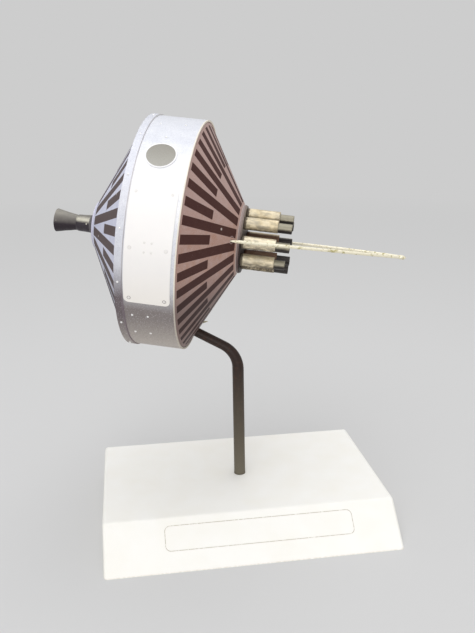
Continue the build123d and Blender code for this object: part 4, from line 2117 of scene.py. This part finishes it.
@dataclass
class Antenna:
    """The two thin painted rods and the bead of paint where they meet.

    Args:
        axes: The probe's axes.
        lumps: How far the brushed paint stands out in places.
        seed: Picks where.
    """

    axes: ProbeAxes
    lumps: float = 0.12 * MM
    seed: int = 11

    def _rod_tree(self) -> GeometryGraph:
        """The tree that lays a painted rod along a bow.

        Returns:
            The tree.
        """
        graph = GeometryGraph("painted_rod")
        radius, point_share = graph.size("Radius"), graph.size("Pointed Share")
        lumps, lump_size = graph.size("Lump Height"), graph.size("Lump Size")
        seed = graph.size("Seed", "Int")
        bow = {name: graph.size(name, "Vector") for name in ("Start", "Middle", "End")}
        line = graph.wire("GeometryNodeCurveQuadraticBezier", {**bow, "Resolution": 220})
        share = graph.wire("GeometryNodeSplineParameter")
        tip = 0.35
        taper = tip + (1 - tip) * (share / point_share).clamped()
        ring = graph.wire("GeometryNodeCurvePrimitiveCircle", {"Resolution": 20, "Radius": radius})
        inputs = {"Curve": line, "Profile Curve": ring, "Scale": taper, "Fill Caps": True}
        tube = graph.wire("GeometryNodeCurveToMesh", inputs)
        place = graph.wire("GeometryNodeInputPosition")
        swell = (graph.noise(place, lump_size, detail=3.0, seed=seed) - 0.45) * lumps
        offset = graph.wire("GeometryNodeInputNormal") * swell
        lumpy = graph.wire("GeometryNodeSetPosition", {"Geometry": tube, "Offset": offset})
        graph.close(lumpy)
        return graph

    def _bow(self, node: str) -> dict[str, Vector]:
        """A rod's line, read from the rings of corners along its node.

        Args:
            node: The rod's node.

        Returns:
            The start, the point that the bow leans to, and the end.
        """
        points = sorted(self.axes.local_points(node), key=lambda point: point.x)
        rings = [[points[0]]]
        for before, point in zip(points, points[1:]):
            if point.x - before.x > 0.3 * MM:
                rings.append([])
            rings[-1].append(point)
        inner, skin, *middles, end = [centre_of(ring) for ring in rings]
        start = skin.lerp(inner, 0.5)
        middle = middles[len(middles) // 2]
        share = (middle - start).dot(end - start) / (end - start).length_squared
        lean = (middle - start * (1 - share) ** 2 - end * share ** 2) / (2 * share * (1 - share))
        return {"Start": start, "Middle": lean, "End": end}

    def build(self) -> None:
        """Make both rods and the bead at their tip."""
        silver = BrushedPaint(
            "antenna_silver_paint", ink(242, 236, 213), 0.4, 0.3, axes=self.axes, relief=0.05 * MM,
            thin=ink(184, 174, 122), thin_share=0.5, streak=3.0)
        tree = self._rod_tree()
        for number, side in enumerate(("near", "far")):
            node = f"antenna_rod_{side}"
            sizes = {
                **self._bow(node), "Radius": 0.5 * MM, "Pointed Share": 0.05, "Lump Height": self.lumps,
                "Lump Size": 1.1 * MM, "Seed": self.seed + number, "Material": silver.material()}
            rod = tree.grow(f"antenna_painted_{side}", new_mesh(node + "_line", []), sizes)
            rod.data.transform(self.axes.place)
            seat(rod, "antenna_silver", [node])
        self._bead(silver)

    def _bead(self, silver: Finish) -> None:
        """The bead of paint over the rods' ends: a lumpy drop.

        Args:
            silver: Its paint.
        """
        span = self.axes.stations("antenna_tip")
        points = self.axes.local_points("antenna_tip")
        centre = centre_of([point for point in points if point.x < span.low + 0.05 * MM])
        wide = max(abs(point.y - centre.y) for point in points)
        tall = max(abs(point.z - centre.z) for point in points)
        reach_back, uneven, lump_size, steps = 1.2 * MM, 0.12, 0.9 * MM, 24
        start = span.low - reach_back
        shares = [(1 - math.cos(math.pi * i / steps)) / 2 for i in range(steps + 1)]
        outline = [
            (start + (span.high - start) * share, 2 * math.sqrt(share * (1 - share))) for share in shares]
        mesh = lathe("antenna_bead", outline, 32)
        for corner in mesh.vertices:
            bump = 1 + uneven * noise.noise(corner.co / lump_size + Vector((3, 1, 2)))
            corner.co.y = centre.y + corner.co.y * wide * bump
            corner.co.z = centre.z + corner.co.z * tall * bump
        mesh.update()
        soften(mesh, fold=60.0)
        mount(mesh, self.axes, silver, "antenna_silver", ["antenna_tip"])


# ---- studio
@dataclass
class Lamp:
    """A soft square lamp that faces the object.

    Args:
        name: Its name.
        azimuth: Where it stands, in degrees from the front towards the right.
        elevation: How high it stands, in degrees.
        distance: How far from the object's middle.
        size: The length of its side.
        power: Its power in watts.
        colour: Its colour.
    """

    name: str
    azimuth: float
    elevation: float
    distance: float
    size: float
    power: float
    colour: tuple[float, float, float] = (1.0, 1.0, 1.0)

    def build(self, target: Vector) -> None:
        """Hang the lamp and turn it to a point.

        Args:
            target: The point.
        """
        data = bpy.data.lights.new(self.name, "AREA")
        data.size, data.energy, data.color = self.size, self.power, self.colour
        lamp = add_object(self.name, data)
        turn, rise = math.radians(self.azimuth), math.radians(self.elevation)
        way = Vector((math.sin(turn) * math.cos(rise), -math.cos(turn) * math.cos(rise), math.sin(rise)))
        lamp.location = target + way * self.distance
        lamp.rotation_euler = way.to_track_quat("Z", "Y").to_euler()


@dataclass
class Studio:
    """The pale floor, the soft lamps and the camera.

    Args:
        backdrop: The background's colour.
        floor: The floor's colour where it is seen.
        floor_bounce: The tone that it throws up at the object.
        ambient: The strength of the light that comes from all sides.
        floor_radius, floor_sides: How far the floor reaches, and how many sides it has.
        floor_fade: How far out it fades into the background.
        camera_place: Where the camera stands.
        yaw, pitch, roll: How it is turned right, down and round its own line, in degrees.
        lens, sensor: Its focal length and the width of its sensor, in millimetres.
        nearest: How near it sees.
    """

    backdrop: Colour = ink(205, 205, 205)
    floor: Colour = ink(208, 208, 208)
    floor_bounce: Colour = ink(196, 194, 190)
    ambient: float = 0.64
    floor_radius: float = 3.0
    floor_sides: int = 96
    floor_fade: Span = Span(0.2, 0.9)
    camera_place: tuple[float, float, float] = (-0.0359, -0.22378, 0.13804)
    yaw: float = 8.836
    pitch: float = 16.493
    roll: float = -0.417
    lens: float = 41.07
    sensor: float = 36.0
    nearest: float = 0.01
    lamps: list[Lamp] = field(default_factory=lambda: [
        Lamp("key", -36.0, 62.0, distance=0.9, size=0.8, power=2.6, colour=(0.97, 0.98, 1.0)),
        Lamp("front", -12.0, 4.0, distance=1.1, size=0.7, power=4.0, colour=(1.0, 0.98, 0.96)),
        Lamp("top", 150.0, 75.0, distance=1.2, size=1.0, power=4.0),
    ])

    def _seen(self, graph: NodeGraph) -> Wire:
        """Whether a ray is one that should see the pale background: a camera, glossy or glass ray.

        Args:
            graph: The tree to add to.

        Returns:
            1 for such a ray, and 0 for any other.
        """
        path = graph.node("ShaderNodeLightPath")
        kinds = ("Is Camera Ray", "Is Glossy Ray", "Is Transmission Ray")
        camera, glossy, glass = (Wire(graph, path.outputs[kind]) for kind in kinds)
        return camera.most(glossy).most(glass)

    def _build_world(self) -> None:
        """An even light from all sides, with the pale background where it is seen."""
        world = bpy.data.worlds.new("studio_light")
        world.use_nodes = True
        bpy.context.scene.world = world
        graph = NodeGraph(world.node_tree)
        graph.tree.nodes.clear()
        light = graph.wire("ShaderNodeBackground", {"Color": WHITE, "Strength": self.ambient})
        seen = graph.wire("ShaderNodeBackground", {"Color": self.backdrop, "Strength": 1.0})
        both = graph.wire("ShaderNodeMixShader", {"Fac": self._seen(graph), 1: light, 2: seen})
        graph.node("ShaderNodeOutputWorld", {"Surface": both})

    def _build_floor(self) -> None:
        """A wide round floor that fades into the background."""
        rim = [
            (self.floor_radius * math.cos(turn), self.floor_radius * math.sin(turn), 0.0)
            for turn in (2 * math.pi * i / self.floor_sides for i in range(self.floor_sides))]
        mesh = new_mesh("studio_floor", rim, [range(self.floor_sides)])
        graph = ShaderGraph("studio_floor_paint")
        across, along, _ = graph.point().parts()
        reach = (across * across + along * along) ** 0.5
        far = reach.rising(self.floor_fade)
        shown = graph.mix(self._seen(graph), self.floor_bounce, self.floor)
        matt = graph.wire("ShaderNodeBsdfDiffuse", {"Color": shown})
        glow = graph.wire("ShaderNodeEmission", {"Color": self.backdrop, "Strength": 1.0})
        both = graph.wire("ShaderNodeMixShader", {"Fac": far * self._seen(graph), 1: matt, 2: glow})
        graph.node("ShaderNodeOutputMaterial", {"Surface": both})
        mesh.materials.append(graph.material)
        floor = add_object("studio_floor", mesh)

    def _build_camera(self) -> None:
        """The camera, turned right, down and then round its own line."""
        yaw, pitch, roll = (math.radians(angle) for angle in (self.yaw, self.pitch, self.roll))
        ahead = Vector((math.sin(yaw) * math.cos(pitch), math.cos(yaw) * math.cos(pitch), -math.sin(pitch)))
        right = Vector((math.cos(yaw), -math.sin(yaw), 0))
        up = right.cross(ahead)
        rolled_right = right * math.cos(roll) + up * math.sin(roll)
        rolled_up = up * math.cos(roll) - right * math.sin(roll)
        data = bpy.data.cameras.new("camera")
        data.lens, data.sensor_width, data.clip_start = self.lens, self.sensor, self.nearest
        camera = add_object("camera", data)
        turn = Matrix((rolled_right, rolled_up, -ahead)).transposed().to_4x4()
        camera.matrix_world = Matrix.Translation(Vector(self.camera_place)) @ turn
        bpy.context.scene.camera = camera

    def build(self) -> None:
        """Set up the whole studio round the object."""
        scene = bpy.context.scene
        scene.view_settings.view_transform = "Standard"
        low, high = CAD_BOX
        self._build_world()
        self._build_floor()
        self._build_camera()
        for lamp in self.lamps:
            lamp.build((low + high) / 2)
        LOG.info("studio: %d lamps", len(self.lamps))


def main() -> None:
    """Dress the frame, build the fine pieces and set up the studio."""
    logging.basicConfig(level=logging.INFO, format="%(message)s")
    axes = ProbeAxes.from_frame()
    Plinth().dress()
    rod = SupportRod(axes)
    rod.dress()
    rod.add_torn_card()
    drum = Drum(axes)
    drum.dress()
    drum.add_rivets()
    drum.add_screws()
    Cones(axes).dress()
    RetroMotor(axes).build()
    RocketRing(axes).build()
    Antenna(axes).build()
    Studio().build()


if __name__ == "__main__":
    main()
